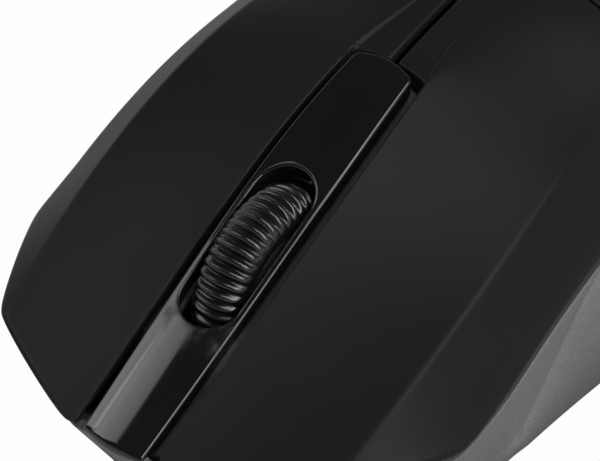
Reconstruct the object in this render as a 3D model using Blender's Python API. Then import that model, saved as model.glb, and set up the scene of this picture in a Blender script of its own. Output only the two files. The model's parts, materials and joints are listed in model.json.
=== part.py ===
"""Cordless desktop mouse, modelled as an assembly of separate pieces.

Metres. +X is the mouse's right, +Y its front and +Z up. The origin is on the desk,
under the middle of the mouse.
"""
from math import cos, pi, radians, sin

import bmesh
import bpy
import numpy as np
from mathutils import Matrix, Vector

# Gap that seated pieces keep to each other, and the gap of running fits
SEAT = 0.0003
RUNNING = 0.0001

# Top cover: plan outline, crest and edges
LENGTH = 0.109
HALF_WIDTH = 0.0305
WAIST = 0.0013
HEIGHT = 0.0345
LIP_HEIGHT = 0.0158
TAIL_HEIGHT = 0.0135
SEAM_HEIGHT = 0.0206
TAIL_FALL = 2.8
SKIRT_TAIL = 0.0012
CORNER_Y = 0.0282
NOSE_RADIUS = 0.060
FRONT_SWEEP = 2.1
FRONT_SWEEP_INSET = 0.0158
FRONT_SWEEP_SETBACK = 0.004
SIDE_SWEEP = 0.473
SIDE_SWEEP_INSET = 0.00085
SIDE_SWEEP_SETBACK = 0.0216
CORNER_SOFTNESS = 0.0015
HIP_Y = -0.014
CREST_Y = -0.010
CREST_FULLNESS = 1.63
COVER_THICKNESS = 0.0016
STRIP_PROUD = 0.0005
FRONT_Y = LENGTH / 2 - STRIP_PROUD
REAR_Y = SKIRT_TAIL - LENGTH / 2

# Crease between a button's top and its sloped outer facet
CREASE_HALF = 0.02385
CREASE_Y = 0.020
CREASE_BOW = 2.85
CREASE_DROP = 0.00375
CREASE_DROP_REAR = 0.0021
CREASE_SOFTNESS = 0.0006
FACET_SLOPE = 1.25
FACET_TWIST = 4.7
FACET_FLATTEN = 0.94
FACET_SHARE = 0.2
FINGER_DISH = 0.9
DISH_REAR_Y = -0.004
DISH_FRONT_Y = 0.040
PALM_CROWN = 2.6
PALM_BLEND_Y = 0.002

# Buttons
SPLIT = 0.0010
CROSS_SEAM_Y = -0.021
CROSS_SEAM_GAP = 0.0004
BUTTON_TRAVEL = 0.0007
TONGUE_LENGTH = 0.005
TONGUE_ROOT = 0.004
TONGUE_THICKNESS = 0.0012
TONGUE_INNER = 0.004
TONGUE_OUTER = 0.020
BUTTON_POST = 0.003

# Centre strip and the channel that it lies in
STRIP_HALF = 0.0046
STRIP_FRONT_HALF = 0.00405
STRIP_REAR_HALF = 0.0039
STRIP_REAR_Y = 0.0031
STRIP_WIDEST_Y = 0.022
STRIP_RISE = 0.00076
STRIP_CROWN = 0.0003
STRIP_DEPTH = 0.0014
STRIP_FRONT_BOW = 0.0006
STRIP_REAR_BOW = 0.0005
STRIP_LEG_WIDTH = 0.006
STRIP_LEG_THICKNESS = 0.0015
CHANNEL_GAP = 0.0011
CHANNEL_FRONT_GAP = 0.0014
CHANNEL_REAR_GAP = 0.0011
SLOT_HALF = 0.00368
SLOT_LENGTH = 0.0212
SLOT_Y = 0.0293

# Scroll wheel
WHEEL_RADIUS = 0.0115
WHEEL_PROUD = 0.0032
TYRE_WIDTH = 0.0061
TYRE_SHOULDER = 0.0022
TYRE_THICKNESS = 0.0033
RIB_COUNT = 48
RIB_DEPTH = 0.00035
AXLE_RADIUS = 0.0010
AXLE_END = 0.001
WHEEL_TRAVEL = 0.0005

# Wheel cradle, its pin and the encoder
CHEEK_INNER = 0.0062
CHEEK_THICKNESS = 0.0018
CRADLE_HEIGHT = 0.003
CRADLE_BAR = 0.003
CRADLE_FINGER = 0.003
CRADLE_BELOW_AXLE = 0.00225
CRADLE_PIN_RADIUS = 0.001
WHEEL_CLEARANCE = 0.0008
CRADLE_BOSS_RADIUS = 0.0030
POST_SIZE = 0.004
POST_TOP_MARGIN = 0.002
ENCODER_SIZE = 0.0046
ENCODER_WIDTH = 0.0030
ROTOR_WALL = 0.0004

# Lower shell
BOTTOM_Z = 0.001
WALL = 0.002
FLOOR = 0.002
FRONT_UNDERCUT = 0.50
SIDE_UNDERCUT = 0.03
SKIRT_FLARE = 0.0025
SKIRT_FLARE_MAX = 0.0034
SKIRT_GROWTH = 1.3
SKIRT_RISE = 1.4
SKIRT_FRONT_Y = 0.0205
SKIRT_REAR_Y = 0.0015
SKIRT_FLARE_Y = 0.0047
SKIRT_BLEND = 0.004
BOTTOM_CHAMFER = 0.0010
FLOOR_TOP = BOTTOM_Z + FLOOR

# Circuit board and what it carries
BOARD_MARGIN = 0.013
BOARD_HALF_WIDTH = HALF_WIDTH - BOARD_MARGIN
BOARD_SETBACK = 0.0108
BOARD_FRONT_Y = FRONT_Y - BOARD_SETBACK
BOARD_Z = 0.0052
BOARD_THICKNESS = 0.0016
BOARD_CORNER = 0.005
BOARD_TOP = BOARD_Z + BOARD_THICKNESS
SWITCH_INSET = 0.0045
SWITCH_SETBACK = 0.0092
SWITCH_X = BOARD_HALF_WIDTH - SWITCH_INSET
SWITCH_Y = BOARD_FRONT_Y - SWITCH_SETBACK
STANDOFF_INSET = 0.003
STANDOFF_SETBACK = 0.0123
STANDOFF_X = BOARD_HALF_WIDTH - STANDOFF_INSET
STANDOFF_Y = SWITCH_Y - STANDOFF_SETBACK
STANDOFF_RADIUS = 0.003
SWITCH_SIZE = (0.0058, 0.0128, 0.0065)
PLUNGER_SIZE = (0.0020, 0.0028, 0.0013)
PLUNGER_SUNK = 0.0005
MIDDLE_SWITCH_SIZE = (0.006, 0.0045, 0.0035)
SENSOR_SIZE = (0.006, 0.005, 0.0012)
SENSOR_Y = 0.0142
LENS_SIZE = (0.010, 0.0064)
WINDOW_SIZE = (0.006, 0.0044)
LIGHT_X = 0.0059
LIGHT_SIZE = (0.0030, 0.0036, 0.0024)
CHIP_SIZE = (0.0050, 0.0024, 0.0008)

# Battery bay
CELL_RADIUS = 0.00525
CELL_LENGTH = 0.0433
NUB_RADIUS = 0.0019
NUB_LENGTH = 0.0012
CELL_SPACING = 0.0112
BAY_FRONT_Y = 0.008
CONTACT_THICKNESS = 0.0004
CONTACT_HEIGHT = 0.0082
CONTACT_WIDTH = 0.0085
SPRING_LENGTH = 0.0015
SPRING_RADIUS = 0.0030
SPRING_WIRE = 0.0003
SPRING_TURNS = 2
SPRING_TAPER = 0.5
SPRING_STEPS = 14
TRAY_WALL = 0.0012
TRAY_ROOF_GAP = 0.0015
BAY_SIDE_GAP = 0.0008
LEDGE = 0.0008

# Receiver, power switch, feet and screws
RECEIVER_INSET = 0.010
RECEIVER_X = HALF_WIDTH - RECEIVER_INSET
RECEIVER_Y = -0.012
RECEIVER_CAP = (0.006, 0.014, 0.0047)
RECEIVER_PLUG = (0.0045, 0.012, 0.0122)
SLEEVE_WALL = 0.001
POWER_INSET = 0.008
POWER_X = HALF_WIDTH - POWER_INSET
POWER_Y = 0.018
POWER_TRAVEL = 0.003
KNOB_STEM = (0.003, 0.0036)
KNOB_FLANGE = (0.0048, 0.0070, 0.0008)
KNOB_RECESS = 0.0004
POWER_BODY_HEIGHT = 0.003
POWER_FOOT = 0.0016
FOOT_HEIGHT = 0.0007
FRONT_FOOT = (0.0085, 0.0036)
FRONT_FOOT_X = 0.0095
FRONT_FOOT_SETBACK = 0.0145
FRONT_FOOT_Y = FRONT_Y - FRONT_FOOT_SETBACK
REAR_FOOT = (0.0110, 0.0026)
REAR_FOOT_SETBACK = 0.0055
REAR_FOOT_Y = REAR_Y + REAR_FOOT_SETBACK
SCREW_X = 0.0178
SCREW_Y = -0.030
SCREW_RADIUS = 0.0011
SCREW_HEAD_RADIUS = 0.0024
SCREW_HEAD = 0.0013
CASE_SCREW_LENGTH = 0.012
BOARD_SCREW_LENGTH = 0.0032
CASE_BOSS_RADIUS = 0.0044
CASE_BOSS_HEIGHT = 0.0014
PALM_POST_RADIUS = 0.0032

# Looks: base colour, roughness and metallic value
BLACK = ((0.018, 0.018, 0.019), 0.45, 0.0)
GLOSS = ((0.008, 0.008, 0.009), 0.08, 0.0)
GREY = ((0.11, 0.11, 0.112), 0.6, 0.0)
RUBBER = ((0.012, 0.012, 0.012), 0.55, 0.0)
SMOKE = ((0.05, 0.05, 0.052), 0.5, 0.0)
STEEL = ((0.55, 0.55, 0.56), 0.3, 1.0)
BOARD = ((0.02, 0.12, 0.05), 0.5, 0.0)
WHITE = ((0.75, 0.75, 0.74), 0.45, 0.0)
CLEAR = ((0.80, 0.83, 0.85), 0.05, 0.0)
RED = ((0.50, 0.03, 0.02), 0.3, 0.0)
CELL = ((0.30, 0.31, 0.33), 0.35, 0.6)

SHARP_ANGLE = radians(35)
X_AXIS = Vector((1, 0, 0))
Y_AXIS = Vector((0, 1, 0))
Z_AXIS = Vector((0, 0, 1))


# Surfaces of the body

def smooth_step(low, high, value):
    """0 below low, 1 above high, with a smooth rise between them."""
    share = np.clip((value - low) / (high - low), 0, 1)
    return share * share * (3 - 2 * share)


def tail_share(y):
    """0 at the crest and 1 at the tail."""
    return np.clip((CREST_Y - y) / (CREST_Y - REAR_Y), 0, 1)


def crest(y):
    """Height of the top along the middle of the mouse."""
    front = np.clip((y - CREST_Y) / (FRONT_Y - CREST_Y), 0, None)
    slope = front ** 2 * (CREST_FULLNESS - (CREST_FULLNESS - 1) * front)
    drop = (HEIGHT - LIP_HEIGHT) * slope
    return HEIGHT - drop - (HEIGHT - TAIL_HEIGHT) * tail_share(y) ** TAIL_FALL


def lesser(first, second, softness):
    """The lesser of two values, with a rounded change from one to the other."""
    return 0.5 * (first + second - np.sqrt((first - second) ** 2 + softness ** 2))


def half_width(y):
    """Half width of the top's plan outline.

    From the front: a flat round nose, a swept-back front edge, a corner, a chamfered side,
    waisted sides and a half ellipse round the tail.
    """
    rear = np.clip((HIP_Y - y) / (HIP_Y - REAR_Y), 0, 1)
    side = HALF_WIDTH - WAIST * smooth_step(CORNER_Y, HIP_Y, y)
    chamfer = HALF_WIDTH - SIDE_SWEEP_INSET - SIDE_SWEEP * (y - FRONT_Y + SIDE_SWEEP_SETBACK)
    front = HALF_WIDTH - FRONT_SWEEP_INSET - FRONT_SWEEP * (y - FRONT_Y + FRONT_SWEEP_SETBACK)
    nose = np.sqrt(np.clip(FRONT_Y - y, 0, None) * 2 * NOSE_RADIUS)
    flank = lesser(side, chamfer, CORNER_SOFTNESS / 2)
    edge = lesser(front, nose, np.minimum(CORNER_SOFTNESS, nose))
    return lesser(flank, edge, CORNER_SOFTNESS) * np.sqrt(1 - rear ** 2)


def crease_half(y):
    """Distance of the crease from the middle."""
    return CREASE_HALF - CREASE_BOW * (y - CREASE_Y) ** 2


def lens(y, middle, front, rear):
    """A half width that is widest at the wheel and narrows to both ends of the strip."""
    ahead = np.clip((y - STRIP_WIDEST_Y) / (FRONT_Y - STRIP_WIDEST_Y), 0, 1)
    behind = np.clip((STRIP_WIDEST_Y - y) / (STRIP_WIDEST_Y - STRIP_REAR_Y), 0, 1)
    return middle - (middle - front) * ahead ** 2 - (middle - rear) * behind ** 2


def strip_half(y):
    return lens(y, STRIP_HALF, STRIP_FRONT_HALF, STRIP_REAR_HALF)


def channel_half(y):
    return strip_half(y) + lens(y, CHANNEL_GAP, CHANNEL_FRONT_GAP, CHANNEL_REAR_GAP)


def top(x, y):
    """Height of the top cover: dished fingers, crease and facet, blending into a round palm."""
    across = np.abs(x)
    spine = crest(y)
    crease = crease_half(y)
    drop = CREASE_DROP + CREASE_DROP_REAR * np.clip((FRONT_Y - y) / FRONT_Y, 0, None) ** 2
    share = np.clip((across - channel_half(y)) / (crease - channel_half(y)), 0, None)
    dish = FINGER_DISH * smooth_step(DISH_REAR_Y, DISH_FRONT_Y, y)
    crown = spine - drop * ((1 + dish) * share - dish * share ** 2)
    flatten = np.clip((y - CORNER_Y) / (FRONT_Y - CORNER_Y), 0, 1)
    slope = FACET_SLOPE - FACET_TWIST * np.clip(CORNER_Y - y, 0, None)
    slope = slope * np.where(across > crease, 1 - FACET_FLATTEN * flatten, 1)
    facet = spine - drop - slope * (across - crease)
    front = lesser(crown, facet, CREASE_SOFTNESS)
    seam = TAIL_HEIGHT + (SEAM_HEIGHT - TAIL_HEIGHT) * (1 - tail_share(y) ** 2)
    reach = np.clip(across / np.maximum(half_width(y), 1e-6), 0, 1)
    palm = seam + (spine - seam) * (1 - reach ** PALM_CROWN)
    blend = smooth_step(CROSS_SEAM_Y, PALM_BLEND_Y, y)
    return palm + (front - palm) * blend


def press_angle():
    """Turn of a button, in radians, at full travel."""
    return BUTTON_TRAVEL / (FRONT_Y - CROSS_SEAM_Y)


def edge_lean(y):
    """Inward lean of the outer edge, per depth: strong at the front, slight along the sides."""
    share = np.sqrt(smooth_step(SKIRT_FRONT_Y, FRONT_Y, y))
    return SIDE_UNDERCUT + (FRONT_UNDERCUT - SIDE_UNDERCUT) * share


def rim_height(x, y):
    """Top edge of the lower shell: it clears the button above it at full travel."""
    travel = press_angle() * np.clip(y - CROSS_SEAM_Y, 0, None)
    return top(x, y) - COVER_THICKNESS - SEAT - travel


# Mesh helpers

def add_box(bm, low, high):
    centre = (Vector(low) + Vector(high)) / 2
    size = Vector(high) - Vector(low)
    matrix = Matrix.Translation(centre) @ Matrix.Diagonal((*size, 1))
    bmesh.ops.create_cube(bm, size=1, matrix=matrix)


def add_cylinder(bm, start, end, radius, segments=24):
    start, end = Vector(start), Vector(end)
    turn = Z_AXIS.rotation_difference((end - start).normalized()).to_matrix().to_4x4()
    matrix = Matrix.Translation((start + end) / 2) @ turn
    bmesh.ops.create_cone(bm, cap_ends=True, segments=segments, radius1=radius,
                          radius2=radius, depth=(end - start).length, matrix=matrix)


def add_prism(bm, outline, low, high):
    """A vertical prism over a plan outline."""
    base = [bm.verts.new((x, y, low)) for x, y in outline]
    roof = [bm.verts.new((x, y, high)) for x, y in outline]
    count = len(outline)
    bm.faces.new(base[::-1])
    bm.faces.new(roof)
    for i in range(count):
        j = (i + 1) % count
        bm.faces.new((base[i], base[j], roof[j], roof[i]))


def add_sheet(bm, upper, lower):
    """A closed plate between two grids of points that have the same rows and columns."""
    rows, columns = upper.shape[:2]
    high = [[bm.verts.new(p) for p in row] for row in upper]
    low = [[bm.verts.new(p) for p in row] for row in lower]
    for i in range(rows - 1):
        for j in range(columns - 1):
            bm.faces.new((high[i][j], high[i][j + 1], high[i + 1][j + 1], high[i + 1][j]))
            bm.faces.new((low[i][j], low[i + 1][j], low[i + 1][j + 1], low[i][j + 1]))
    rim = [(i, 0) for i in range(rows)]
    rim += [(rows - 1, j) for j in range(1, columns)]
    rim += [(i, columns - 1) for i in range(rows - 2, -1, -1)]
    rim += [(0, j) for j in range(columns - 2, 0, -1)]
    for (i, j), (k, m) in zip(rim, rim[1:] + rim[:1]):
        bm.faces.new((high[i][j], high[k][m], low[k][m], low[i][j]))


def add_rings(bm, rings):
    """A closed skin through rings of points, with a flat face on the first and last ring."""
    loops = [[bm.verts.new(p) for p in ring] for ring in rings]
    count = len(rings[0])
    for first, second in zip(loops, loops[1:]):
        for i in range(count):
            j = (i + 1) % count
            bm.faces.new((first[i], first[j], second[j], second[i]))
    bm.faces.new(loops[0])
    bm.faces.new(loops[-1])


def add_turned_ring(bm, profile, segments, radius_of=None):
    """A ring about the X axis from a closed profile of (x, radius) points."""
    loops = []
    for i in range(segments):
        angle = 2 * pi * i / segments
        loop = []
        for x, radius in profile:
            radius = radius_of(i, radius) if radius_of else radius
            loop.append(bm.verts.new((x, radius * cos(angle), radius * sin(angle))))
        loops.append(loop)
    count = len(profile)
    for i in range(segments):
        one, two = loops[i], loops[(i + 1) % segments]
        for j in range(count):
            k = (j + 1) % count
            bm.faces.new((one[j], one[k], two[k], two[j]))


def finish(name, bm, look=None, origin=(0, 0, 0)):
    """Turn the bmesh into an object whose origin lies at the given point."""
    bmesh.ops.remove_doubles(bm, verts=bm.verts, dist=1e-6)
    bmesh.ops.recalc_face_normals(bm, faces=bm.faces)
    bmesh.ops.translate(bm, verts=bm.verts, vec=-Vector(origin))
    mesh = bpy.data.meshes.new(name)
    bm.to_mesh(mesh)
    bm.free()
    mesh.shade_smooth()
    mesh.set_sharp_from_angle(angle=SHARP_ANGLE)
    obj = bpy.data.objects.new(name, mesh)
    obj.location = origin
    bpy.context.collection.objects.link(obj)
    if look:
        obj.data.materials.append(material(name, *look))
    return obj


def material(name, colour, roughness, metallic):
    made = bpy.data.materials.new(name)
    made.use_nodes = True
    shader = made.node_tree.nodes["Principled BSDF"]
    shader.inputs["Base Color"].default_value = (*colour, 1)
    shader.inputs["Roughness"].default_value = roughness
    shader.inputs["Metallic"].default_value = metallic
    return made


def tool(name, bm):
    """A hidden shape that only cuts or joins."""
    obj = finish(name, bm)
    obj.hide_render = True
    obj.display_type = "WIRE"
    return obj


def combine(obj, other, operation):
    step = obj.modifiers.new(operation.title(), "BOOLEAN")
    step.operation = operation
    step.object = other
    step.solver = "EXACT"


def box_piece(name, look, low, high, origin=(0, 0, 0)):
    bm = bmesh.new()
    add_box(bm, low, high)
    return finish(name, bm, look, origin)


def around(centre, size):
    """Low and high corners of a box with this plan centre, bottom and size."""
    x, y, z = centre
    width, depth, height = size
    return (x - width / 2, y - depth / 2, z), (x + width / 2, y + depth / 2, z + height)


def ellipse(x, y, half_x, half_y, count=32):
    turns = [2 * pi * i / count for i in range(count)]
    return [(x + half_x * cos(a), y + half_y * sin(a)) for a in turns]


# Top pieces

def cover_rows(low, high):
    """Row positions from low to high, close together where the front outline turns."""
    straight = list(np.linspace(low, min(CORNER_Y, high), 11))
    if high <= CORNER_Y:
        return np.array(straight)
    last = np.arcsin((high - CORNER_Y) / (FRONT_Y - CORNER_Y))
    turned = CORNER_Y + (FRONT_Y - CORNER_Y) * np.sin(np.linspace(0, last, 11))[1:]
    return np.array(straight + list(turned))


def button_tip():
    """Where the channel's edge meets the front outline."""
    low, high = CORNER_Y, FRONT_Y
    for _ in range(40):
        middle = (low + high) / 2
        if half_width(middle) > channel_half(middle):
            low = middle
        else:
            high = middle
    return low


def button_plate(side):
    """Grid points of a button: rows run along Y, columns from the channel to the outer edge."""
    channel_end = STRIP_REAR_Y - CHANNEL_REAR_GAP
    split_start = channel_end - STRIP_REAR_BOW
    rows = np.concatenate([cover_rows(channel_end, button_tip())[1:],
                           [split_start, channel_end],
                           np.linspace(CROSS_SEAM_Y, split_start, 6)[:-1]])
    rows = np.sort(rows)[:, None]
    open_share = smooth_step(split_start, channel_end, rows)
    inner = SPLIT / 2 + (channel_half(rows) - SPLIT / 2) * open_share
    outer = np.maximum(half_width(rows), inner)
    crease = np.minimum(crease_half(rows), outer - FACET_SHARE * (outer - inner))
    flat = inner + (crease - inner) * np.linspace(0, 1, 7)
    slope = crease + (outer - crease) * np.linspace(0, 1, 4)[1:]
    x = np.concatenate([flat, slope], axis=1)
    y = np.broadcast_to(rows, x.shape)
    z = top(x, y)
    upper = np.stack([side * x, y, z], axis=-1)
    lower = np.stack([side * x, y, z - COVER_THICKNESS], axis=-1)
    step = 1e-5
    turn = (half_width(rows + step) - half_width(rows - step))[:, 0] / (2 * step)
    inset = np.minimum(COVER_THICKNESS * edge_lean(rows), (outer - inner) / 2)[:, 0]
    inset = inset / np.hypot(1, turn)
    lower[:, -1, 0] -= side * inset
    lower[:, -1, 1] += inset * turn
    return upper, lower


def under_cover(side, rear, front, high, low):
    """A plate that follows the cover's underside between two depths below its surface."""
    x, y = np.meshgrid(np.linspace(TONGUE_INNER, TONGUE_OUTER, 5), np.linspace(rear, front, 4))
    z = top(x, y)
    return (np.stack([side * x, y, z - high], axis=-1), np.stack([side * x, y, z - low], axis=-1))


def make_button(name, side):
    """A button plate with its actuator post and the tongue that bends under the palm cover."""
    bm = bmesh.new()
    add_sheet(bm, *button_plate(side))
    axis_z = float(top(TONGUE_OUTER / 2, CROSS_SEAM_Y)) - COVER_THICKNESS - SEAT
    button = finish(name, bm, BLACK, (0, CROSS_SEAM_Y, axis_z))
    tongue_top = COVER_THICKNESS + SEAT
    tongue_low = tongue_top + TONGUE_THICKNESS
    rear = CROSS_SEAM_Y - TONGUE_LENGTH
    bm = bmesh.new()
    add_sheet(bm, *under_cover(side, rear, CROSS_SEAM_Y + TONGUE_ROOT, tongue_top, tongue_low))
    combine(button, tool(name + "_tongue", bm), "UNION")
    bm = bmesh.new()
    web_rear = CROSS_SEAM_Y + TONGUE_ROOT / 4
    web_front = CROSS_SEAM_Y + 3 * TONGUE_ROOT / 4
    add_sheet(bm, *under_cover(side, web_rear, web_front, COVER_THICKNESS / 2,
                               tongue_top + TONGUE_THICKNESS / 2))
    combine(button, tool(name + "_web", bm), "UNION")
    bm = bmesh.new()
    low = plunger_top(SWITCH_SIZE) + SEAT
    high = float(top(SWITCH_X, SWITCH_Y)) - COVER_THICKNESS / 2
    add_box(bm, *around((side * SWITCH_X, SWITCH_Y, low), (BUTTON_POST, BUTTON_POST, high - low)))
    combine(button, tool(name + "_post", bm), "UNION")


def tail_rows():
    """Positions along Y that the outline's rear end is drawn through."""
    return HIP_Y - (HIP_Y - REAR_Y) * np.sin(np.linspace(0, pi / 2, 16))


def make_palm_cover():
    """The rear of the top, with two posts for the case screws."""
    front = CROSS_SEAM_Y - CROSS_SEAM_GAP
    rows = tail_rows()
    rows = np.append(rows[rows < front - CROSS_SEAM_GAP][::-1], front)[:, None]
    x = half_width(rows) * np.sin(np.linspace(-pi / 2, pi / 2, 17))
    y = np.broadcast_to(rows, x.shape)
    z = top(x, y)
    bm = bmesh.new()
    add_sheet(bm, np.stack([x, y, z], axis=-1), np.stack([x, y, z - COVER_THICKNESS], axis=-1))
    palm = finish("palm_cover", bm, BLACK)
    bm = bmesh.new()
    holes = bmesh.new()
    low = FLOOR_TOP + CASE_BOSS_HEIGHT + SEAT
    for side in (-1, 1):
        x = side * SCREW_X
        rim = np.array(ellipse(x, SCREW_Y, PALM_POST_RADIUS, PALM_POST_RADIUS))
        high = top(rim[:, 0], rim[:, 1]) - COVER_THICKNESS / 2
        add_rings(bm, [np.column_stack([rim, np.full_like(high, low)]), np.column_stack([rim, high])])
        add_cylinder(holes, (x, SCREW_Y, low - SEAT),
                     (x, SCREW_Y, BOTTOM_Z + CASE_SCREW_LENGTH + 2 * SEAT), SCREW_RADIUS + SEAT, 16)
    combine(palm, tool("palm_posts", bm), "UNION")
    combine(palm, tool("palm_post_holes", holes), "DIFFERENCE")


def strip_height(x, y):
    """Top of the centre strip."""
    return crest(y) + STRIP_RISE + STRIP_CROWN * (1 - (x / strip_half(y)) ** 2)


def make_strip():
    """The centre strip, with bowed ends, the wheel slot and a leg down to the battery tray."""
    shares = np.linspace(-1, 1, 9)
    travel = np.linspace(0, 1, 25)[:, None]
    bow = 1 - shares ** 2
    rear = STRIP_REAR_Y - STRIP_REAR_BOW * bow
    front = FRONT_Y + STRIP_PROUD - STRIP_FRONT_BOW * (1 - bow)
    y = rear + (front - rear) * travel
    x = shares * strip_half(y)
    bm = bmesh.new()
    upper = np.stack([x, y, strip_height(x, y)], axis=-1)
    add_sheet(bm, upper, np.stack([x, y, crest(y) - STRIP_DEPTH], axis=-1))
    strip = finish("centre_strip", bm, GLOSS)
    bm = bmesh.new()
    leg_y = STRIP_REAR_Y + STRIP_LEG_THICKNESS / 2
    leg_top = float(crest(leg_y)) - STRIP_DEPTH / 2
    size = (STRIP_LEG_WIDTH, STRIP_LEG_THICKNESS, leg_top - tray_top() - SEAT)
    add_box(bm, *around((0, leg_y, tray_top() + SEAT), size))
    combine(strip, tool("strip_leg", bm), "UNION")
    bm = bmesh.new()
    straight = SLOT_LENGTH / 2 - SLOT_HALF
    arc = [pi * i / 12 for i in range(13)]
    slot = [(SLOT_HALF * cos(a), SLOT_Y + straight + SLOT_HALF * sin(a)) for a in arc]
    slot += [(-x, 2 * SLOT_Y - y) for x, y in slot]
    add_prism(bm, slot, BOARD_TOP, 2 * HEIGHT)
    combine(strip, tool("strip_slot", bm), "DIFFERENCE")


# Scroll wheel and its cradle

def wheel_centre():
    """The wheel's centre lies below the strip, along the strip's normal at the slot."""
    step = 0.001
    slope = float(crest(SLOT_Y + step) - crest(SLOT_Y - step)) / (2 * step)
    normal = Vector((0, -slope, 1)).normalized()
    surface = Vector((0, SLOT_Y, float(strip_height(0, SLOT_Y))))
    return surface - normal * (WHEEL_RADIUS - WHEEL_PROUD)


def cradle_pin_centre():
    centre = wheel_centre()
    back = WHEEL_RADIUS + WHEEL_CLEARANCE + CRADLE_BAR / 2
    return centre - Y_AXIS * back - Z_AXIS * CRADLE_BELOW_AXLE


def make_wheel():
    """A crowned tyre with ribs across it, on a hub with two stub axles."""
    centre = wheel_centre()
    half = TYRE_WIDTH / 2
    side = WHEEL_RADIUS - TYRE_SHOULDER
    inner = WHEEL_RADIUS - TYRE_THICKNESS
    arc = [pi * i / 8 for i in range(9)]
    profile = [(half * cos(a), side + TYRE_SHOULDER * sin(a)) for a in arc]
    profile += [(-half, inner), (half, inner)]

    def ribbed(segment, radius):
        groove = segment % 2 and radius > side
        return radius - RIB_DEPTH * (radius - side) / TYRE_SHOULDER if groove else radius

    bm = bmesh.new()
    add_turned_ring(bm, profile, 2 * RIB_COUNT, ribbed)
    bmesh.ops.translate(bm, verts=bm.verts, vec=centre)
    finish("wheel_tyre", bm, RUBBER, centre)

    outer_cheek = CHEEK_INNER + CHEEK_THICKNESS
    hub_left = outer_cheek + SEAT + ENCODER_WIDTH
    hub_right = outer_cheek + AXLE_END
    bm = bmesh.new()
    add_cylinder(bm, centre - X_AXIS * hub_left, centre + X_AXIS * hub_right, AXLE_RADIUS)
    hub = finish("wheel_hub", bm, SMOKE, centre)
    bm = bmesh.new()
    rim = X_AXIS * (half - SEAT)
    add_cylinder(bm, centre - rim, centre + rim, inner - SEAT, 48)
    combine(hub, tool("wheel_hub_disc", bm), "UNION")

    bm = bmesh.new()
    hole = AXLE_RADIUS + SEAT
    rotor = ((-hub_left + SEAT, hole), (-hub_left + SEAT, hole + ROTOR_WALL),
             (-outer_cheek - 2 * SEAT, hole + ROTOR_WALL), (-outer_cheek - 2 * SEAT, hole))
    add_turned_ring(bm, rotor, 24)
    bmesh.ops.translate(bm, verts=bm.verts, vec=centre)
    finish("encoder_rotor", bm, WHITE, centre)


def make_cradle():
    """A frame round the wheel. It swings on a pin behind the wheel and carries the encoder."""
    centre = wheel_centre()
    pin = cradle_pin_centre()
    outer = CHEEK_INNER + CHEEK_THICKNESS
    reach = WHEEL_RADIUS + WHEEL_CLEARANCE
    low = pin.z - CRADLE_HEIGHT / 2
    high = pin.z + CRADLE_HEIGHT / 2
    front = centre.y + reach
    bm = bmesh.new()
    add_box(bm, (-outer, pin.y - CRADLE_BAR / 2, low), (outer, front + CHEEK_THICKNESS, high))
    cradle = finish("wheel_cradle", bm, SMOKE, pin)
    bm = bmesh.new()
    add_box(bm, (-CHEEK_INNER, centre.y - reach, low - SEAT), (CHEEK_INNER, front, high + SEAT))
    combine(cradle, tool("cradle_window", bm), "DIFFERENCE")
    bm = bmesh.new()
    for side in (-1, 1):
        add_cylinder(bm, centre + X_AXIS * side * CHEEK_INNER, centre + X_AXIS * side * outer,
                     CRADLE_BOSS_RADIUS)
    finger_low = plunger_top(MIDDLE_SWITCH_SIZE) + SEAT
    finger = (CRADLE_FINGER, CHEEK_THICKNESS - 2 * SEAT, pin.z - finger_low)
    add_box(bm, *around((0, front + CHEEK_THICKNESS / 2, finger_low), finger))
    combine(cradle, tool("cradle_bosses", bm), "UNION")
    bm = bmesh.new()
    span = X_AXIS * 2 * outer
    add_cylinder(bm, centre - span, centre + span, AXLE_RADIUS + RUNNING)
    add_cylinder(bm, pin - span, pin + span, CRADLE_PIN_RADIUS + RUNNING)
    combine(cradle, tool("cradle_bores", bm), "DIFFERENCE")

    bm = bmesh.new()
    reach_x = X_AXIS * (post_x() + POST_SIZE / 2)
    add_cylinder(bm, pin - reach_x, pin + reach_x, CRADLE_PIN_RADIUS)
    finish("cradle_pin", bm, STEEL, pin)

    near = -outer - SEAT
    low = centre - Vector((0, ENCODER_SIZE / 2, ENCODER_SIZE / 2))
    encoder = box_piece("encoder_body", SMOKE, (near - ENCODER_WIDTH, low.y, low.z),
                        (near, low.y + ENCODER_SIZE, low.z + ENCODER_SIZE), pin)
    bm = bmesh.new()
    bore = AXLE_RADIUS + 2 * SEAT + ROTOR_WALL
    add_cylinder(bm, centre - X_AXIS * 2 * (outer + ENCODER_WIDTH), centre, bore)
    combine(encoder, tool("encoder_bore", bm), "DIFFERENCE")


def post_x():
    """Distance from the middle to the centre of each post that holds the cradle's pin."""
    return CHEEK_INNER + CHEEK_THICKNESS + 2 * SEAT + POST_SIZE / 2


# Circuit board and its pieces

def board_rear():
    """The board's rear edge, just ahead of the battery tray."""
    return BAY_FRONT_Y + TRAY_WALL + 2 * SEAT


def middle_switch_y():
    return wheel_centre().y + WHEEL_RADIUS + WHEEL_CLEARANCE + CHEEK_THICKNESS / 2


def plunger_top(switch_size):
    """Top of the plunger of a switch of this size, at rest."""
    return BOARD_TOP + SEAT + switch_size[2] - PLUNGER_SUNK + PLUNGER_SIZE[2]


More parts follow.
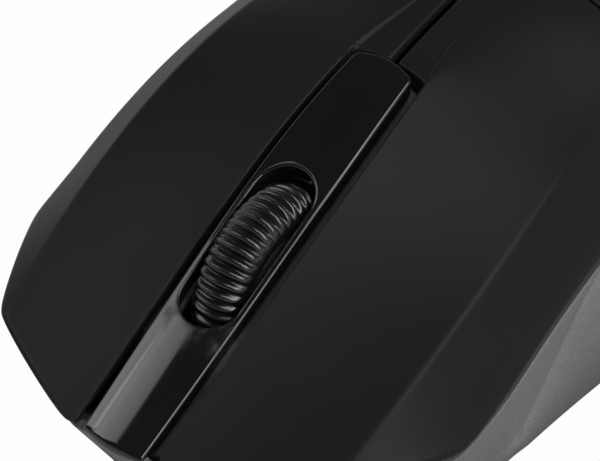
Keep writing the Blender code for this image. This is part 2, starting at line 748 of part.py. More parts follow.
def make_board():
    bm = bmesh.new()
    corner = BOARD_CORNER
    front = BOARD_FRONT_Y
    wide = BOARD_HALF_WIDTH
    rear = board_rear()
    outline = [(-wide, rear), (wide, rear), (wide, front - corner), (wide - corner, front),
               (corner - wide, front), (-wide, front - corner)]
    add_prism(bm, outline, BOARD_Z, BOARD_TOP)
    board = finish("circuit_board", bm, BOARD)
    bm = bmesh.new()
    pin = cradle_pin_centre()
    post_hole = POST_SIZE + 2 * SEAT
    for side in (-1, 1):
        add_cylinder(bm, (side * STANDOFF_X, STANDOFF_Y, FLOOR_TOP),
                     (side * STANDOFF_X, STANDOFF_Y, 2 * BOARD_TOP), SCREW_RADIUS + SEAT, 16)
        add_box(bm, *around((side * post_x(), pin.y, FLOOR_TOP), (post_hole, post_hole, BOARD_TOP)))
    add_box(bm, *around((0, SENSOR_Y, FLOOR_TOP), (*WINDOW_SIZE, BOARD_TOP)))
    well = (TYRE_WIDTH + 2 * WHEEL_CLEARANCE, WHEEL_RADIUS, BOARD_TOP)
    add_box(bm, *around((0, wheel_centre().y, FLOOR_TOP), well))
    combine(board, tool("board_holes", bm), "DIFFERENCE")
    seat = BOARD_TOP + SEAT
    box_piece("sensor_chip", BLACK, *around((0, SENSOR_Y, seat), SENSOR_SIZE))
    chip_y = middle_switch_y() - MIDDLE_SWITCH_SIZE[1] / 2 - 2 * SEAT - CHIP_SIZE[1] / 2
    box_piece("controller_chip", BLACK, *around((0, chip_y, seat), CHIP_SIZE))
    box_piece("sensor_light", RED, *around((LIGHT_X, SENSOR_Y, seat), LIGHT_SIZE))
    lens_height = BOARD_Z - FLOOR_TOP - 2 * SEAT
    box_piece("sensor_lens", CLEAR,
              *around((0, SENSOR_Y, FLOOR_TOP + SEAT), (*LENS_SIZE, lens_height)))


def make_switch(name, x, y, size, travel):
    """A switch body on the board and the plunger that sinks into it by its travel."""
    seat = BOARD_TOP + SEAT
    body = box_piece(name + "_body", BLACK, *around((x, y, seat), size))
    plunger = plunger_top(size) - PLUNGER_SIZE[2]
    box_piece(name + "_plunger", WHITE, *around((x, y, plunger), PLUNGER_SIZE), (x, y, plunger))
    bm = bmesh.new()
    width, depth, height = PLUNGER_SIZE
    bottom = plunger - travel - SEAT
    add_box(bm, *around((x, y, bottom), (width + 2 * SEAT, depth + 2 * SEAT, height + travel)))
    combine(body, tool(name + "_pocket", bm), "DIFFERENCE")


# Lower shell

def half_outline():
    """Right half of the top's outline from front to rear, with its outward directions."""
    turn = np.linspace(0, pi / 2, 14)
    y = np.concatenate([CORNER_Y + (FRONT_Y - CORNER_Y) * np.cos(turn),
                        np.linspace(CORNER_Y, HIP_Y, 12)[1:-1],
                        tail_rows()])
    x = half_width(y)
    around_x = np.concatenate([[-x[1]], x, [-x[-2]]])
    around_y = np.concatenate([[y[1]], y, [y[-2]]])
    along_x = around_x[2:] - around_x[:-2]
    along_y = around_y[2:] - around_y[:-2]
    size = np.hypot(along_x, along_y)
    return x, y, -along_y / size, along_x / size


def ridge_height(y, rim):
    """Height of the line where the skirt grows out of the side wall."""
    share = np.clip((y - SKIRT_REAR_Y) / (SKIRT_FRONT_Y - SKIRT_REAR_Y), 0, 1)
    height = rim - (rim - BOTTOM_Z) * share ** SKIRT_RISE
    return np.clip(height, BOTTOM_Z + 3 * BOTTOM_CHAMFER, rim - SEAT)


def skirt_flare(x, y):
    """How far the skirt's foot stands out beyond the top's outline."""
    reach = np.clip((SKIRT_FRONT_Y - y) / (SKIRT_FRONT_Y - SKIRT_FLARE_Y), 0, None)
    flare = np.minimum(SKIRT_FLARE * reach ** SKIRT_GROWTH, SKIRT_FLARE_MAX)
    tail = SKIRT_TAIL + (flare - SKIRT_TAIL) * (x / HALF_WIDTH) ** 2
    return np.where(y < HIP_Y, tail, flare)


def wall_offset(x, y, z):
    """Distance of the lower shell's outer face from the top's outline at a height."""
    lip = top(x, y)
    ridge = ridge_height(y, rim_height(x, y))
    foot = BOTTOM_Z + BOTTOM_CHAMFER
    band = -edge_lean(y) * (lip - np.maximum(z, ridge))
    plain_foot = -edge_lean(y) * (lip - foot)
    share = np.clip((ridge - z) / (ridge - foot), 0, 1)
    blend = smooth_step(SKIRT_FRONT_Y + SKIRT_BLEND, SKIRT_FRONT_Y - SKIRT_BLEND, y)
    target = plain_foot + (skirt_flare(x, y) - plain_foot) * blend
    straight = band + (plain_foot - band) * share
    skirt = band + (target - band) * (1 - (1 - share) ** 2)
    return straight + (skirt - straight) * blend


def ring(offset, height):
    """A closed ring of points, from the right half's offsets and heights."""
    x, y, nx, ny = half_outline()
    right = np.stack([x + nx * offset, y + ny * offset, height], axis=-1)
    right[0, 0] = right[-1, 0] = 0
    left = right[-2:0:-1] * (-1, 1, 1)
    return np.concatenate([right, left])


def make_base():
    """The open lower shell with its bosses, posts and openings."""
    x, y, _, _ = half_outline()
    rim = rim_height(x, y)
    ridge = ridge_height(y, rim)
    foot = BOTTOM_Z + BOTTOM_CHAMFER
    flat = np.full_like(rim, 1.0)
    levels = [foot + (ridge - foot) * share for share in (0, 0.3, 0.6, 0.85)]
    levels += [ridge, (rim + ridge) / 2, rim]
    rings = [ring(wall_offset(x, y, foot * flat) - BOTTOM_CHAMFER, BOTTOM_Z * flat)]
    rings += [ring(wall_offset(x, y, z), z) for z in levels]
    inner = [rim, (rim + FLOOR_TOP) / 2, FLOOR_TOP * flat]
    rings += [ring(wall_offset(x, y, z) - WALL, z) for z in inner]
    bm = bmesh.new()
    add_rings(bm, rings)
    base = finish("base_shell", bm, GREY)

    joined = bmesh.new()
    standoffs = bmesh.new()
    root = FLOOR_TOP - FLOOR / 2
    pin = cradle_pin_centre()
    for side in (-1, 1):
        size = (POST_SIZE, POST_SIZE, pin.z + POST_TOP_MARGIN - root)
        add_box(joined, *around((side * post_x(), pin.y, root), size))
        spot = (side * STANDOFF_X, STANDOFF_Y)
        add_cylinder(standoffs, (*spot, root), (*spot, BOARD_Z - SEAT), STANDOFF_RADIUS)
        spot = (side * SCREW_X, SCREW_Y)
        add_cylinder(joined, (*spot, root), (*spot, FLOOR_TOP + CASE_BOSS_HEIGHT), CASE_BOSS_RADIUS)
    combine(base, tool("base_bosses", joined), "UNION")
    combine(base, tool("base_standoffs", standoffs), "UNION")

    holes = bmesh.new()
    sinks = bmesh.new()
    under = -SEAT
    above = FLOOR_TOP + SEAT
    reach = X_AXIS * (post_x() + POST_SIZE)
    add_cylinder(holes, pin - reach, pin + reach, CRADLE_PIN_RADIUS + SEAT)
    for side in (-1, 1):
        spot = (side * STANDOFF_X, STANDOFF_Y)
        add_cylinder(holes, (*spot, FLOOR_TOP), (*spot, BOARD_TOP), SCREW_RADIUS + SEAT, 16)
        spot = (side * SCREW_X, SCREW_Y)
        add_cylinder(holes, (*spot, under), (*spot, BOARD_TOP), SCREW_RADIUS + SEAT, 16)
        add_cylinder(sinks, (*spot, under), (*spot, BOTTOM_Z + SEAT + SCREW_HEAD + SEAT),
                     SCREW_HEAD_RADIUS + SEAT)
    low, high = bay_opening()
    add_box(holes, (*low, under), (*high, above))
    add_box(holes, *around((0, SENSOR_Y, under), (*WINDOW_SIZE, above - under)))
    add_box(holes, *around((RECEIVER_X, RECEIVER_Y, under),
                           (RECEIVER_CAP[0] + 2 * SEAT, RECEIVER_CAP[1] + 2 * SEAT, above - under)))
    slot = (KNOB_STEM[0] + 2 * SEAT, KNOB_STEM[1] + POWER_TRAVEL + 2 * SEAT, above - under)
    add_box(holes, *around((POWER_X, POWER_Y + POWER_TRAVEL / 2, under), slot))
    combine(base, tool("base_openings", holes), "DIFFERENCE")
    combine(base, tool("base_screw_sinks", sinks), "DIFFERENCE")


# Battery bay

def cell_z():
    return FLOOR_TOP + SEAT + CELL_RADIUS


def tray_inner():
    """Plan corners of the space inside the battery tray."""
    half = CELL_SPACING / 2 + CELL_RADIUS + BAY_SIDE_GAP
    length = CELL_LENGTH + NUB_LENGTH + SPRING_LENGTH + 2 * CONTACT_THICKNESS + 5 * SEAT
    return (-half, BAY_FRONT_Y - length), (half, BAY_FRONT_Y)


def tray_top():
    return cell_z() + CELL_RADIUS + TRAY_ROOF_GAP + TRAY_WALL


def bay_opening():
    """Plan corners of the opening that the hatch closes, inside the tray's walls."""
    (left, rear), (right, front) = tray_inner()
    return (left + LEDGE, rear + LEDGE), (right - LEDGE, front - LEDGE)


def make_bay():
    (left, rear), (right, front) = tray_inner()
    roof = tray_top() - TRAY_WALL
    floor = FLOOR_TOP + SEAT
    tray = box_piece("battery_tray", SMOKE, (left - TRAY_WALL, rear - TRAY_WALL, floor),
                     (right + TRAY_WALL, front + TRAY_WALL, tray_top()))
    bm = bmesh.new()
    add_box(bm, (left, rear, floor - SEAT), (right, front, roof))
    combine(tray, tool("tray_space", bm), "DIFFERENCE")

    z = cell_z()
    low = z - CONTACT_HEIGHT / 2
    high = z + CONTACT_HEIGHT / 2
    back = rear + SEAT
    face = back + CONTACT_THICKNESS
    box_piece("rear_bridge", STEEL, (left + BAY_SIDE_GAP, back, low), (right - BAY_SIDE_GAP, face, high))
    ahead = front - SEAT
    for name, side in (("left", -1), ("right", 1)):
        x = side * CELL_SPACING / 2
        box_piece("front_contact_" + name, STEEL,
                  (x - CONTACT_WIDTH / 2, ahead - CONTACT_THICKNESS, low),
                  (x + CONTACT_WIDTH / 2, ahead, high))
    near = ahead - CONTACT_THICKNESS - SEAT
    make_cell("left", -CELL_SPACING / 2, near, -1)
    make_spring("left", -CELL_SPACING / 2, face + SEAT, 1)
    make_cell("right", CELL_SPACING / 2, face + SEAT, 1)
    make_spring("right", CELL_SPACING / 2, near, -1)


def make_cell(name, x, nub_end, direction):
    """A cell whose nub ends at nub_end and whose body lies in the given direction along Y."""
    z = cell_z()
    shoulder = nub_end + direction * NUB_LENGTH
    bm = bmesh.new()
    add_cylinder(bm, (x, shoulder, z), (x, shoulder + direction * CELL_LENGTH, z), CELL_RADIUS, 32)
    cell = finish("battery_cell_" + name, bm, CELL)
    bm = bmesh.new()
    add_cylinder(bm, (x, nub_end, z), (x, shoulder + direction * NUB_LENGTH, z), NUB_RADIUS, 16)
    combine(cell, tool("cell_nub_" + name, bm), "UNION")


def make_spring(name, x, start, direction):
    """A conical contact spring along Y."""
    z = cell_z()
    count = SPRING_STEPS * SPRING_TURNS
    curve = bpy.data.curves.new("contact_spring_" + name, "CURVE")
    curve.dimensions = "3D"
    curve.bevel_depth = SPRING_WIRE
    curve.bevel_resolution = 1
    curve.use_fill_caps = True
    spline = curve.splines.new("POLY")
    spline.points.add(count)
    travel = SPRING_LENGTH - 2 * SPRING_WIRE
    for i in range(count + 1):
        share = i / count
        angle = 2 * pi * SPRING_TURNS * share
        radius = SPRING_RADIUS * (1 - SPRING_TAPER * share)
        y = start + direction * (SPRING_WIRE + travel * share)
        spline.points[i].co = (x + radius * cos(angle), y, z + radius * sin(angle), 1)
    spring = bpy.data.objects.new("contact_spring_" + name, curve)
    curve.materials.append(material("contact_spring_" + name, *STEEL))
    bpy.context.collection.objects.link(spring)


def make_door():
    """The hatch. It swings down about its front lower edge."""
    (left, rear), (right, front) = bay_opening()
    hinge = front - SEAT
    box_piece("battery_door", GREY, (left + SEAT, rear + SEAT, BOTTOM_Z),
              (right - SEAT, hinge, FLOOR_TOP), (0, hinge, BOTTOM_Z))


# Receiver, power switch, feet and screws

def make_receiver():
    spot = (RECEIVER_X, RECEIVER_Y)
    low = BOTTOM_Z + SEAT
    origin = (*spot, low)
    box_piece("receiver_cap", BLACK, *around((*spot, low), RECEIVER_CAP), origin)
    plug = low + RECEIVER_CAP[2] + SEAT
    box_piece("receiver_plug", STEEL, *around((*spot, plug), RECEIVER_PLUG), origin)
    inner = (RECEIVER_CAP[0] + 2 * SEAT, RECEIVER_CAP[1] + 2 * SEAT)
    outer = (inner[0] + 2 * SLEEVE_WALL, inner[1] + 2 * SLEEVE_WALL)
    floor = FLOOR_TOP + SEAT
    height = plug + RECEIVER_PLUG[2] + SEAT - floor
    sleeve = box_piece("receiver_sleeve", SMOKE, *around((*spot, floor), (*outer, height)))
    bm = bmesh.new()
    add_box(bm, *around((*spot, floor - SEAT), (*inner, height + 2 * SEAT)))
    combine(sleeve, tool("sleeve_space", bm), "DIFFERENCE")


def make_power_switch():
    """A sliding knob in a slot of the floor, under a switch body that bridges it."""
    knob_low = BOTTOM_Z + KNOB_RECESS
    flange_low = FLOOR_TOP + SEAT
    stem = around((POWER_X, POWER_Y, knob_low), (*KNOB_STEM, flange_low - knob_low + SEAT))
    knob = box_piece("power_knob", WHITE, *stem, (POWER_X, POWER_Y, knob_low))
    bm = bmesh.new()
    add_box(bm, *around((POWER_X, POWER_Y, flange_low), KNOB_FLANGE))
    combine(knob, tool("knob_flange", bm), "UNION")
    middle = POWER_Y + POWER_TRAVEL / 2
    length = KNOB_FLANGE[1] + POWER_TRAVEL + 4 * SEAT + 2 * POWER_FOOT
    roof = flange_low + KNOB_FLANGE[2] + SEAT
    size = (KNOB_FLANGE[0], length, roof + POWER_BODY_HEIGHT - flange_low)
    body = box_piece("power_switch_body", SMOKE, *around((POWER_X, middle, flange_low), size))
    bm = bmesh.new()
    space = (2 * KNOB_FLANGE[0], length - 2 * POWER_FOOT, roof - flange_low + SEAT)
    add_box(bm, *around((POWER_X, middle, flange_low - SEAT), space))
    combine(body, tool("power_body_space", bm), "DIFFERENCE")


def make_foot(name, x, y, half_x, half_y):
    bm = bmesh.new()
    add_prism(bm, ellipse(x, y, half_x, half_y), 0, FOOT_HEIGHT)
    finish(name, bm, SMOKE)


def make_screw(name, x, y, head_z, direction, length):
    """A screw whose head starts at head_z and whose shank points along Z in the direction."""
    neck = head_z + direction * SCREW_HEAD
    bm = bmesh.new()
    add_cylinder(bm, (x, y, head_z), (x, y, neck), SCREW_HEAD_RADIUS)
    screw = finish(name, bm, STEEL)
    bm = bmesh.new()
    tip = head_z + direction * length
    add_cylinder(bm, (x, y, neck - direction * SCREW_HEAD / 2), (x, y, tip), SCREW_RADIUS, 16)
    combine(screw, tool(name + "_shank", bm), "UNION")


def make_small_pieces():
    make_foot("front_foot_left", -FRONT_FOOT_X, FRONT_FOOT_Y, *FRONT_FOOT)
    make_foot("front_foot_right", FRONT_FOOT_X, FRONT_FOOT_Y, *FRONT_FOOT)
    make_foot("rear_foot", 0, REAR_FOOT_Y, *REAR_FOOT)
    for name, side in (("left", -1), ("right", 1)):
        make_screw("case_screw_" + name, side * SCREW_X, SCREW_Y, BOTTOM_Z + SEAT, 1, CASE_SCREW_LENGTH)
        make_screw("board_screw_" + name, side * STANDOFF_X, STANDOFF_Y,
                   BOARD_TOP + SEAT + SCREW_HEAD, -1, BOARD_SCREW_LENGTH)


def main():
    for old in list(bpy.data.objects):
        bpy.data.objects.remove(old)
    make_base()
    make_button("left_button", -1)
    make_button("right_button", 1)
    make_palm_cover()
    make_strip()
    make_wheel()
    make_cradle()
    make_board()
    travel = press_angle() * (SWITCH_Y - CROSS_SEAM_Y)
    make_switch("left_switch", -SWITCH_X, SWITCH_Y, SWITCH_SIZE, travel)
    make_switch("right_switch", SWITCH_X, SWITCH_Y, SWITCH_SIZE, travel)
    make_switch("middle_switch", 0, middle_switch_y(), MIDDLE_SWITCH_SIZE, WHEEL_TRAVEL)
    make_bay()
    make_door()
    make_receiver()
    make_power_switch()
    make_small_pieces()


main()
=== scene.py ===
"""Finished surfaces, materials and a studio stage for a cordless desktop mouse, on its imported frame.

All lengths are in metres. X runs across the mouse, Y from its tail to its front and Z up.
"""
import json
from math import pi, radians

import bmesh
import bpy
import numpy as np
from bpy.props import FloatProperty, FloatVectorProperty, IntProperty, PointerProperty
from bpy.types import Operator, Panel, PropertyGroup
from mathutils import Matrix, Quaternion, Vector


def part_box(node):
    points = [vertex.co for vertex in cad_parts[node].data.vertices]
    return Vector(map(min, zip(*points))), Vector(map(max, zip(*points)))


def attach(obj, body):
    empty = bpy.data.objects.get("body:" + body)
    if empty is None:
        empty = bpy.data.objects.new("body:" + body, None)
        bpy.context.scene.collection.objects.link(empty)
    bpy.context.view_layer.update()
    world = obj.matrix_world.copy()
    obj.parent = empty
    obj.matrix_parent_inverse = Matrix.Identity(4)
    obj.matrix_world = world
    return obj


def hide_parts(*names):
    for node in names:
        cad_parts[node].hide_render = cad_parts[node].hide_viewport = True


bl_info = {
    "name": "Desktop Mouse",
    "version": (1, 0, 0),
    "blender": (4, 5, 0),
    "location": "3D View > Sidebar > Mouse",
    "description": "Fine surfaces, finishes and a studio stage for a cordless desktop mouse",
    "category": "Object",
}

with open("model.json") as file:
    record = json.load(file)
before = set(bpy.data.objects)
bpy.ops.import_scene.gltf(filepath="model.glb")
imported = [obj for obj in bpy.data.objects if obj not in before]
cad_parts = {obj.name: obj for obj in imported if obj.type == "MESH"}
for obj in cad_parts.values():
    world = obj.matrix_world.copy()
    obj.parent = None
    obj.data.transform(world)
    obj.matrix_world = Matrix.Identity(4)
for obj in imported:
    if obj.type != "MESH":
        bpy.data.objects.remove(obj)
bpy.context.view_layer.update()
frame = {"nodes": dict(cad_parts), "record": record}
BUTTON_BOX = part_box("right_button")
PALM_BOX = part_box("palm_cover")
STRIP_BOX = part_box("centre_strip")
TYRE_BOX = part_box("wheel_tyre")
SHELL_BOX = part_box("base_shell")

# Shape of the top: how full its curves are, and where they start
CREST_Y = -0.010
CREST_FULLNESS = 1.63
TAIL_FALL = 2.8
CORNER_Y = 0.0282
NOSE_RADIUS = 0.060
FRONT_SWEEP = 2.1
FRONT_SWEEP_INSET = 0.0158
FRONT_SWEEP_SETBACK = 0.004
SIDE_SWEEP = 0.473
SIDE_SWEEP_INSET = 0.00085
SIDE_SWEEP_SETBACK = 0.0216
CORNER_SOFTNESS = 0.0015
HIP_Y = -0.014
CREASE_Y = 0.020
CREASE_BOW = 2.85
CREASE_DROP_REAR = 0.0021
CREASE_SOFTNESS = 0.00012
FACET_SLOPE = 1.25
FACET_TWIST = 4.7
FACET_FLATTEN = 0.94
FLATTEN_Y = 0.0225
FLATTEN_POWER = 1.40
FINGER_DISH = 0.9
DISH_REAR_Y = -0.004
DISH_FRONT_Y = 0.040
PALM_CROWN = 2.6
PALM_BLEND_Y = 0.002
CROSS_SEAM_Y = -0.021
SEAT = 0.0003
BUTTON_TRAVEL = 0.0007
CHANNEL_CORNER = 0.0010
SPLIT_CORNER = 0.0004
TIP_SHARE = 0.3
TIP_LENGTH = 0.006
HOLLOW_SHARE = 0.5
HOLLOW_START = 0.6
HOLLOW_END = 0.9
HOLLOW_EDGE = 0.001
CHANNEL_EASE = 0.005
SHOULDER_EASE = 0.30
RECESS_TAPER = 0.55
RECESS_EDGE = 0.0005
LIP_WIDTH = 0.94
LIP_REACH = 0.0028
LIP_THICKNESS = 0.0008

# Centre strip and the channel that it lies in
STRIP_PROUD = 0.0005
STRIP_FRONT_HALF = 0.00405
STRIP_REAR_HALF = 0.0039
STRIP_REAR_Y = 0.0031
STRIP_WIDEST_Y = 0.022
STRIP_CROWN = 0.0003
STRIP_RIDGE = 0.55
STRIP_RIDGE_EASE = 0.12
STRIP_FALL = 0.00040
STRIP_FALL_REAR = 0.022
STRIP_FALL_FRONT = 0.038
STRIP_THINNING = 0.003
STRIP_EDGE = 0.0006
STRIP_DEPTH = 0.0014
STRIP_FRONT_BOW = 0.0006
STRIP_REAR_BOW = 0.0005
STRIP_CORNER = 0.0010
STRIP_ROUND = 0.0003
CHANNEL_GAP = 0.0011
CHANNEL_FRONT_GAP = 0.0014
CHANNEL_REAR_GAP = 0.0011
SLOT_Y = 0.0293
CHIN_REACH = 0.0020
CHIN_STEP = 0.0015
CHIN_STEP_EASE = 0.0004
CHIN_GAP = 0.0002
CHIN_DEPTH = 0.0012
FLOOR_DEPTH = 0.0027
FLOOR_THICKNESS = 0.0008
FLOOR_REACH = 0.0010
FLOOR_LENGTH = 0.93
FLOOR_SLOT_FRONT = 1.19
FLOOR_SLOT_REAR = 1.32
FLOOR_ARCH = 0.00125
FLOOR_ARCH_Y = 0.0398
FLOOR_ARCH_HALF = 0.0018
FLOOR_ARCH_EASE = 0.0020

# Film that fingers leave on the strip
FILM_Y = 0.0388
FILM_REACH = 0.0022
FILM_PALING = 0.4
FILM_DULLING = 1.2
FILM_COLOUR = (0.08, 0.08, 0.08, 1.0)

# Lower shell
FRONT_UNDERCUT = 0.50
SIDE_UNDERCUT = 0.03
SKIRT_FLARE_MAX = 0.0034
SKIRT_GROWTH = 1.3
SKIRT_RISE = 1.4
SKIRT_TAIL = 0.0012
SKIRT_FRONT_Y = 0.0205
SKIRT_REAR_Y = 0.0015
SKIRT_FLARE_Y = 0.0047
SKIRT_BLEND = 0.004
BOTTOM_ROUND = 0.0010
TONGUE_INSET = 0.0004
TONGUE_DRAFT = 0.00005
TONGUE_HEIGHT = 0.0012
TONGUE_EASE = 0.006
RIM_ROUND = 0.00035
SKIN = 0.00018
SKIN_DEPTH = 0.0007

# Wheel tyre
TYRE_SHOULDER = 0.0022
TYRE_THICKNESS = 0.0033
TYRE_INSET = 0.0003
GROOVE_POWER = 1.5
CROWN_POWER = 0.6

# Underside: battery door, glides, knob, cap and screws
DOOR_CORNER = 0.0022
DOOR_ROUND = 0.0003
GRIP_START = 0.0030
GRIP_LENGTH = 0.0105
GRIP_PITCH = 0.0015
GRIP_HALF = 0.0072
GRIP_TAPER = 0.35
GRIP_DEPTH = 0.00035
GLIDE_ROUND = 0.0003
KNOB_STEM = (0.0030, 0.0036)
KNOB_FLANGE = 0.0008
KNOB_CORNER = 0.0006
KNOB_PITCH = 0.0009
KNOB_DEPTH = 0.0004
CAP_CORNER = 0.0012
CAP_HOLLOW = 0.0006
DRIVE_BAR = 0.00038
DRIVE_ARM = 0.00135
DRIVE_DEPTH = 0.0008
DRIVE_FLOOR = 0.6
HEAD_ROUND = 0.0005
HEAD_DEPTH = 0.0014
SHANK_HALF = 0.00095
SHANK_POINT = 0.15
THREAD_PITCH = 0.0009
THREAD_DEPTH = 0.0002

# Numbers of points on the lines that edges and rings follow
LINE_POINTS = 160
FRONT_POINTS = 240
BUTTON_SIDE_POINTS = 120
SHELL_SIDE_POINTS = 100
CHANNEL_CORNER_POINTS = 10
CHANNEL_END_POINTS = 24
SPLIT_POINTS = 60
STRIP_END_POINTS = 40
STRIP_CORNER_POINTS = 12
OVAL_POINTS = 72
CORNER_POINTS = 40
BLOCK_POINTS = 96
SCREW_POINTS = 96
TYRE_POINTS = 25
RIB_POINTS = 14

# Rows along the pieces and columns across them, with the spans where they lie closer
ROUND_STEPS = 6
UNDER_COLUMNS = 10
FADE_COLUMNS = 3
BUTTON_COLUMNS = 110
BUTTON_ROWS = 190
TIP_ROWS = 14
TIP_SPAN = 0.02
CORNER_ROWS = 46
CORNER_SPAN = (-0.02, 0.09)
INNER_CROWDING = 1.4
PALM_COLUMNS = 80
PALM_ROWS = 180
PALM_END_ROWS = 8
PALM_END_SPAN = 0.01
LIP_COLUMNS = 12
LIP_ROWS = 81
STRIP_COLUMNS = 34
STRIP_ROWS = 420
CHIN_ROWS = 121
CHIN_LEVELS = 8
FLOOR_COLUMNS = 6
FLOOR_ROWS = 240
SHELL_ROWS = 380
SKIRT_ROWS = 30
BAND_ROWS = 10
DOOR_COLUMNS = 72
DOOR_ROWS = 220
DOOR_CORNER_ROWS = 14
THREAD_ROWS = 73
FACE_ROWS = 12
FACE_HUB = 0.04

# Limits: of a plate's round and lean by its width, of closeness and of a smooth edge
ROUND_SHARE = 0.35
LEAN_SHARE = 0.5
HALVINGS = 40
TINY = 1e-6
TINIEST = 1e-12
MERGE_DISTANCE = 1e-7
LEAST_EDGE = 1e-8
SHARP_ANGLE = radians(38)

# Light of the room: as it falls on the object, and by height as its reflections show it
ROOM_LEVEL = 0.16
CEILING_LEVEL = 0.08
BAND_LOW = 0.08
BAND_HIGH = 0.35

# Soft panels: place, aim, width and height, power, spread
PANELS = {
    "key_panel": ((-0.48, 0.04, 0.43), (0, 0.02, 0.02), (0.34, 0.34), 2.05, pi),
    "top_panel": ((-0.24, -0.13, 0.58), (0, 0.02, 0.02), (0.26, 0.50), 2.1, pi),
    "side_panel": ((0.50, 0.20, 0.63), (0, 0.04, 0.02), (0.24, 0.45), 0.125, radians(60)),
    "low_panel": ((0.68, 0.076, 0.438), (0, 0.04, 0.02), (0.16, 0.326), 0.050, radians(60)),
}

# Paper floor: its reach and tone, and how white it shows straight and in reflections
PAPER_HALF = 2
PAPER_CELLS = 8
PAPER_TONE = (0.35, 0.35, 0.35, 1)
PAPER_ROUGHNESS = 0.9
PAPER_STRAIGHT = 0.98
PAPER_MIRRORED = 0.38
WHITE = (1, 1, 1, 1)

# Camera of the photograph
CAMERA_PLACE = (-0.13696, 0.20666, 0.27036)
CAMERA_AIM = (-0.00225, 0.02254, 0.0245)
CAMERA_ROLL = radians(0.177)
CAMERA_LENS = 179.8
CAMERA_NEAR = 0.01


def distance(name, description, default):
    return FloatProperty(name=name, description=description, default=default, precision=5,
                         subtype="DISTANCE", unit="LENGTH")


def colour(name, description, default):
    return FloatVectorProperty(name=name, description=description, default=default, size=3,
                               subtype="COLOR", min=0, max=1)


class MouseSizes(PropertyGroup):
    """Sizes of the pieces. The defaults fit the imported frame."""
    front_y: distance("Front", "Position of the buttons' front edge", STRIP_BOX[1].y - STRIP_PROUD)
    rear_y: distance("Rear", "Position of the tail's edge", PALM_BOX[0].y)
    half_width: distance("Half width", "Half width of the top at the front corners", 0.0305)
    waist: distance("Waist", "How far each side draws in behind the front corners", 0.0013)
    height: distance("Height", "Height of the crest", max(BUTTON_BOX[1].z, PALM_BOX[1].z))
    lip_height: distance("Lip height", "Height of the buttons' front edge", 0.0158)
    tail_height: distance("Tail height", "Height of the cover's edge at the tail", 0.0135)
    seam_height: distance("Seam height", "Height of the cover's edge at the palm", 0.0206)
    thickness: distance("Cover thickness", "Thickness of the covers' edges", 0.0016)
    edge_round: distance("Edge round", "Radius of the covers' upper edges", 0.00035)
    crease_half: distance("Crease", "Distance of the buttons' crease from the middle", 0.02385)
    crease_drop: distance("Crease drop", "Fall of the buttons from the channel to the crease", 0.00375)
    split: distance("Split", "Gap between the two buttons", 2 * BUTTON_BOX[0].x)
    cross_gap: distance("Cross seam", "Gap between the buttons and the palm cover", 0.0004)
    recess_half: distance("Recess", "Half width of the dip behind the strip", 0.0052)
    recess_length: distance("Recess length", "Length of the dip behind the strip", 0.0190)
    recess_depth: distance("Recess depth", "Depth of the dip behind the strip", 0.00040)
    strip_half: distance("Strip half width", "Half width of the strip at the wheel", 0.0046)
    strip_rise: distance("Strip rise", "Rise of the strip above the buttons", 0.00076)
    slot_half: distance("Slot half width", "Half width of the wheel's slot", 0.00368)
    slot_length: distance("Slot length", "Length of the wheel's slot", 0.0202)
    rib_count: IntProperty(name="Ribs", description="Number of ribs round the wheel", default=48, min=6)
    rib_depth: distance("Rib depth", "Depth of the grooves between the ribs", 0.00065)
    skirt_flare: distance("Skirt flare", "How far the skirt's foot stands out", 0.0025)


class MouseColours(PropertyGroup):
    """Base colours of the finishes."""
    cover: colour("Covers", "Matt black plastic of the buttons and the palm", (0.0095, 0.0095, 0.0099))
    strip: colour("Strip", "Polished black plastic of the strip", (0.004, 0.004, 0.0045))
    rubber: colour("Wheel", "Rubber of the wheel's tyre", (0.005, 0.005, 0.0052))
    shell: colour("Shell", "Grained grey plastic of the lower shell", (0.122, 0.122, 0.125))
    dark: colour("Dark plastic", "Moulded plastic inside and underneath", (0.020, 0.020, 0.021))
    white: colour("White plastic", "Moulded plastic of the small inner parts", (0.70, 0.70, 0.68))
    glide: colour("Glides", "Slippery plastic of the feet", (0.055, 0.055, 0.058))
    board: colour("Board", "Lacquer of the circuit board", (0.018, 0.105, 0.045))
    steel: colour("Steel", "Bare metal of the screws, contacts and plug", (0.56, 0.56, 0.57))
    cell: colour("Cell", "Sleeve of the battery cells", (0.30, 0.31, 0.33))
    lens: colour("Lens", "Clear plastic of the sensor's lens", (0.80, 0.83, 0.85))
    light: colour("Light", "Tinted plastic of the sensor's light", (0.50, 0.03, 0.02))


# Outlines and heights

def smooth_step(low, high, value):
    """0 below low, 1 above high, with a smooth rise between them."""
    share = np.clip((value - low) / (high - low), 0, 1)
    return share * share * (3 - 2 * share)


def lesser(first, second, softness):
    """The lesser of two values, with a rounded change from one to the other."""
    return 0.5 * (first + second - np.sqrt((first - second) ** 2 + softness ** 2))


def points_at(*coordinates):
    """Points from their coordinates: each is an array, or one number for all the points."""
    return np.stack(np.broadcast_arrays(*coordinates), axis=-1)


def quarter(count):
    """Even angles from 0 to a quarter turn."""
    return np.linspace(0, pi / 2, count)


def loop_steps(end, count):
    """Even steps from 0 up to the end but without it, for a closed line or a full turn."""
    return np.linspace(0, end, count + 1)[:-1]


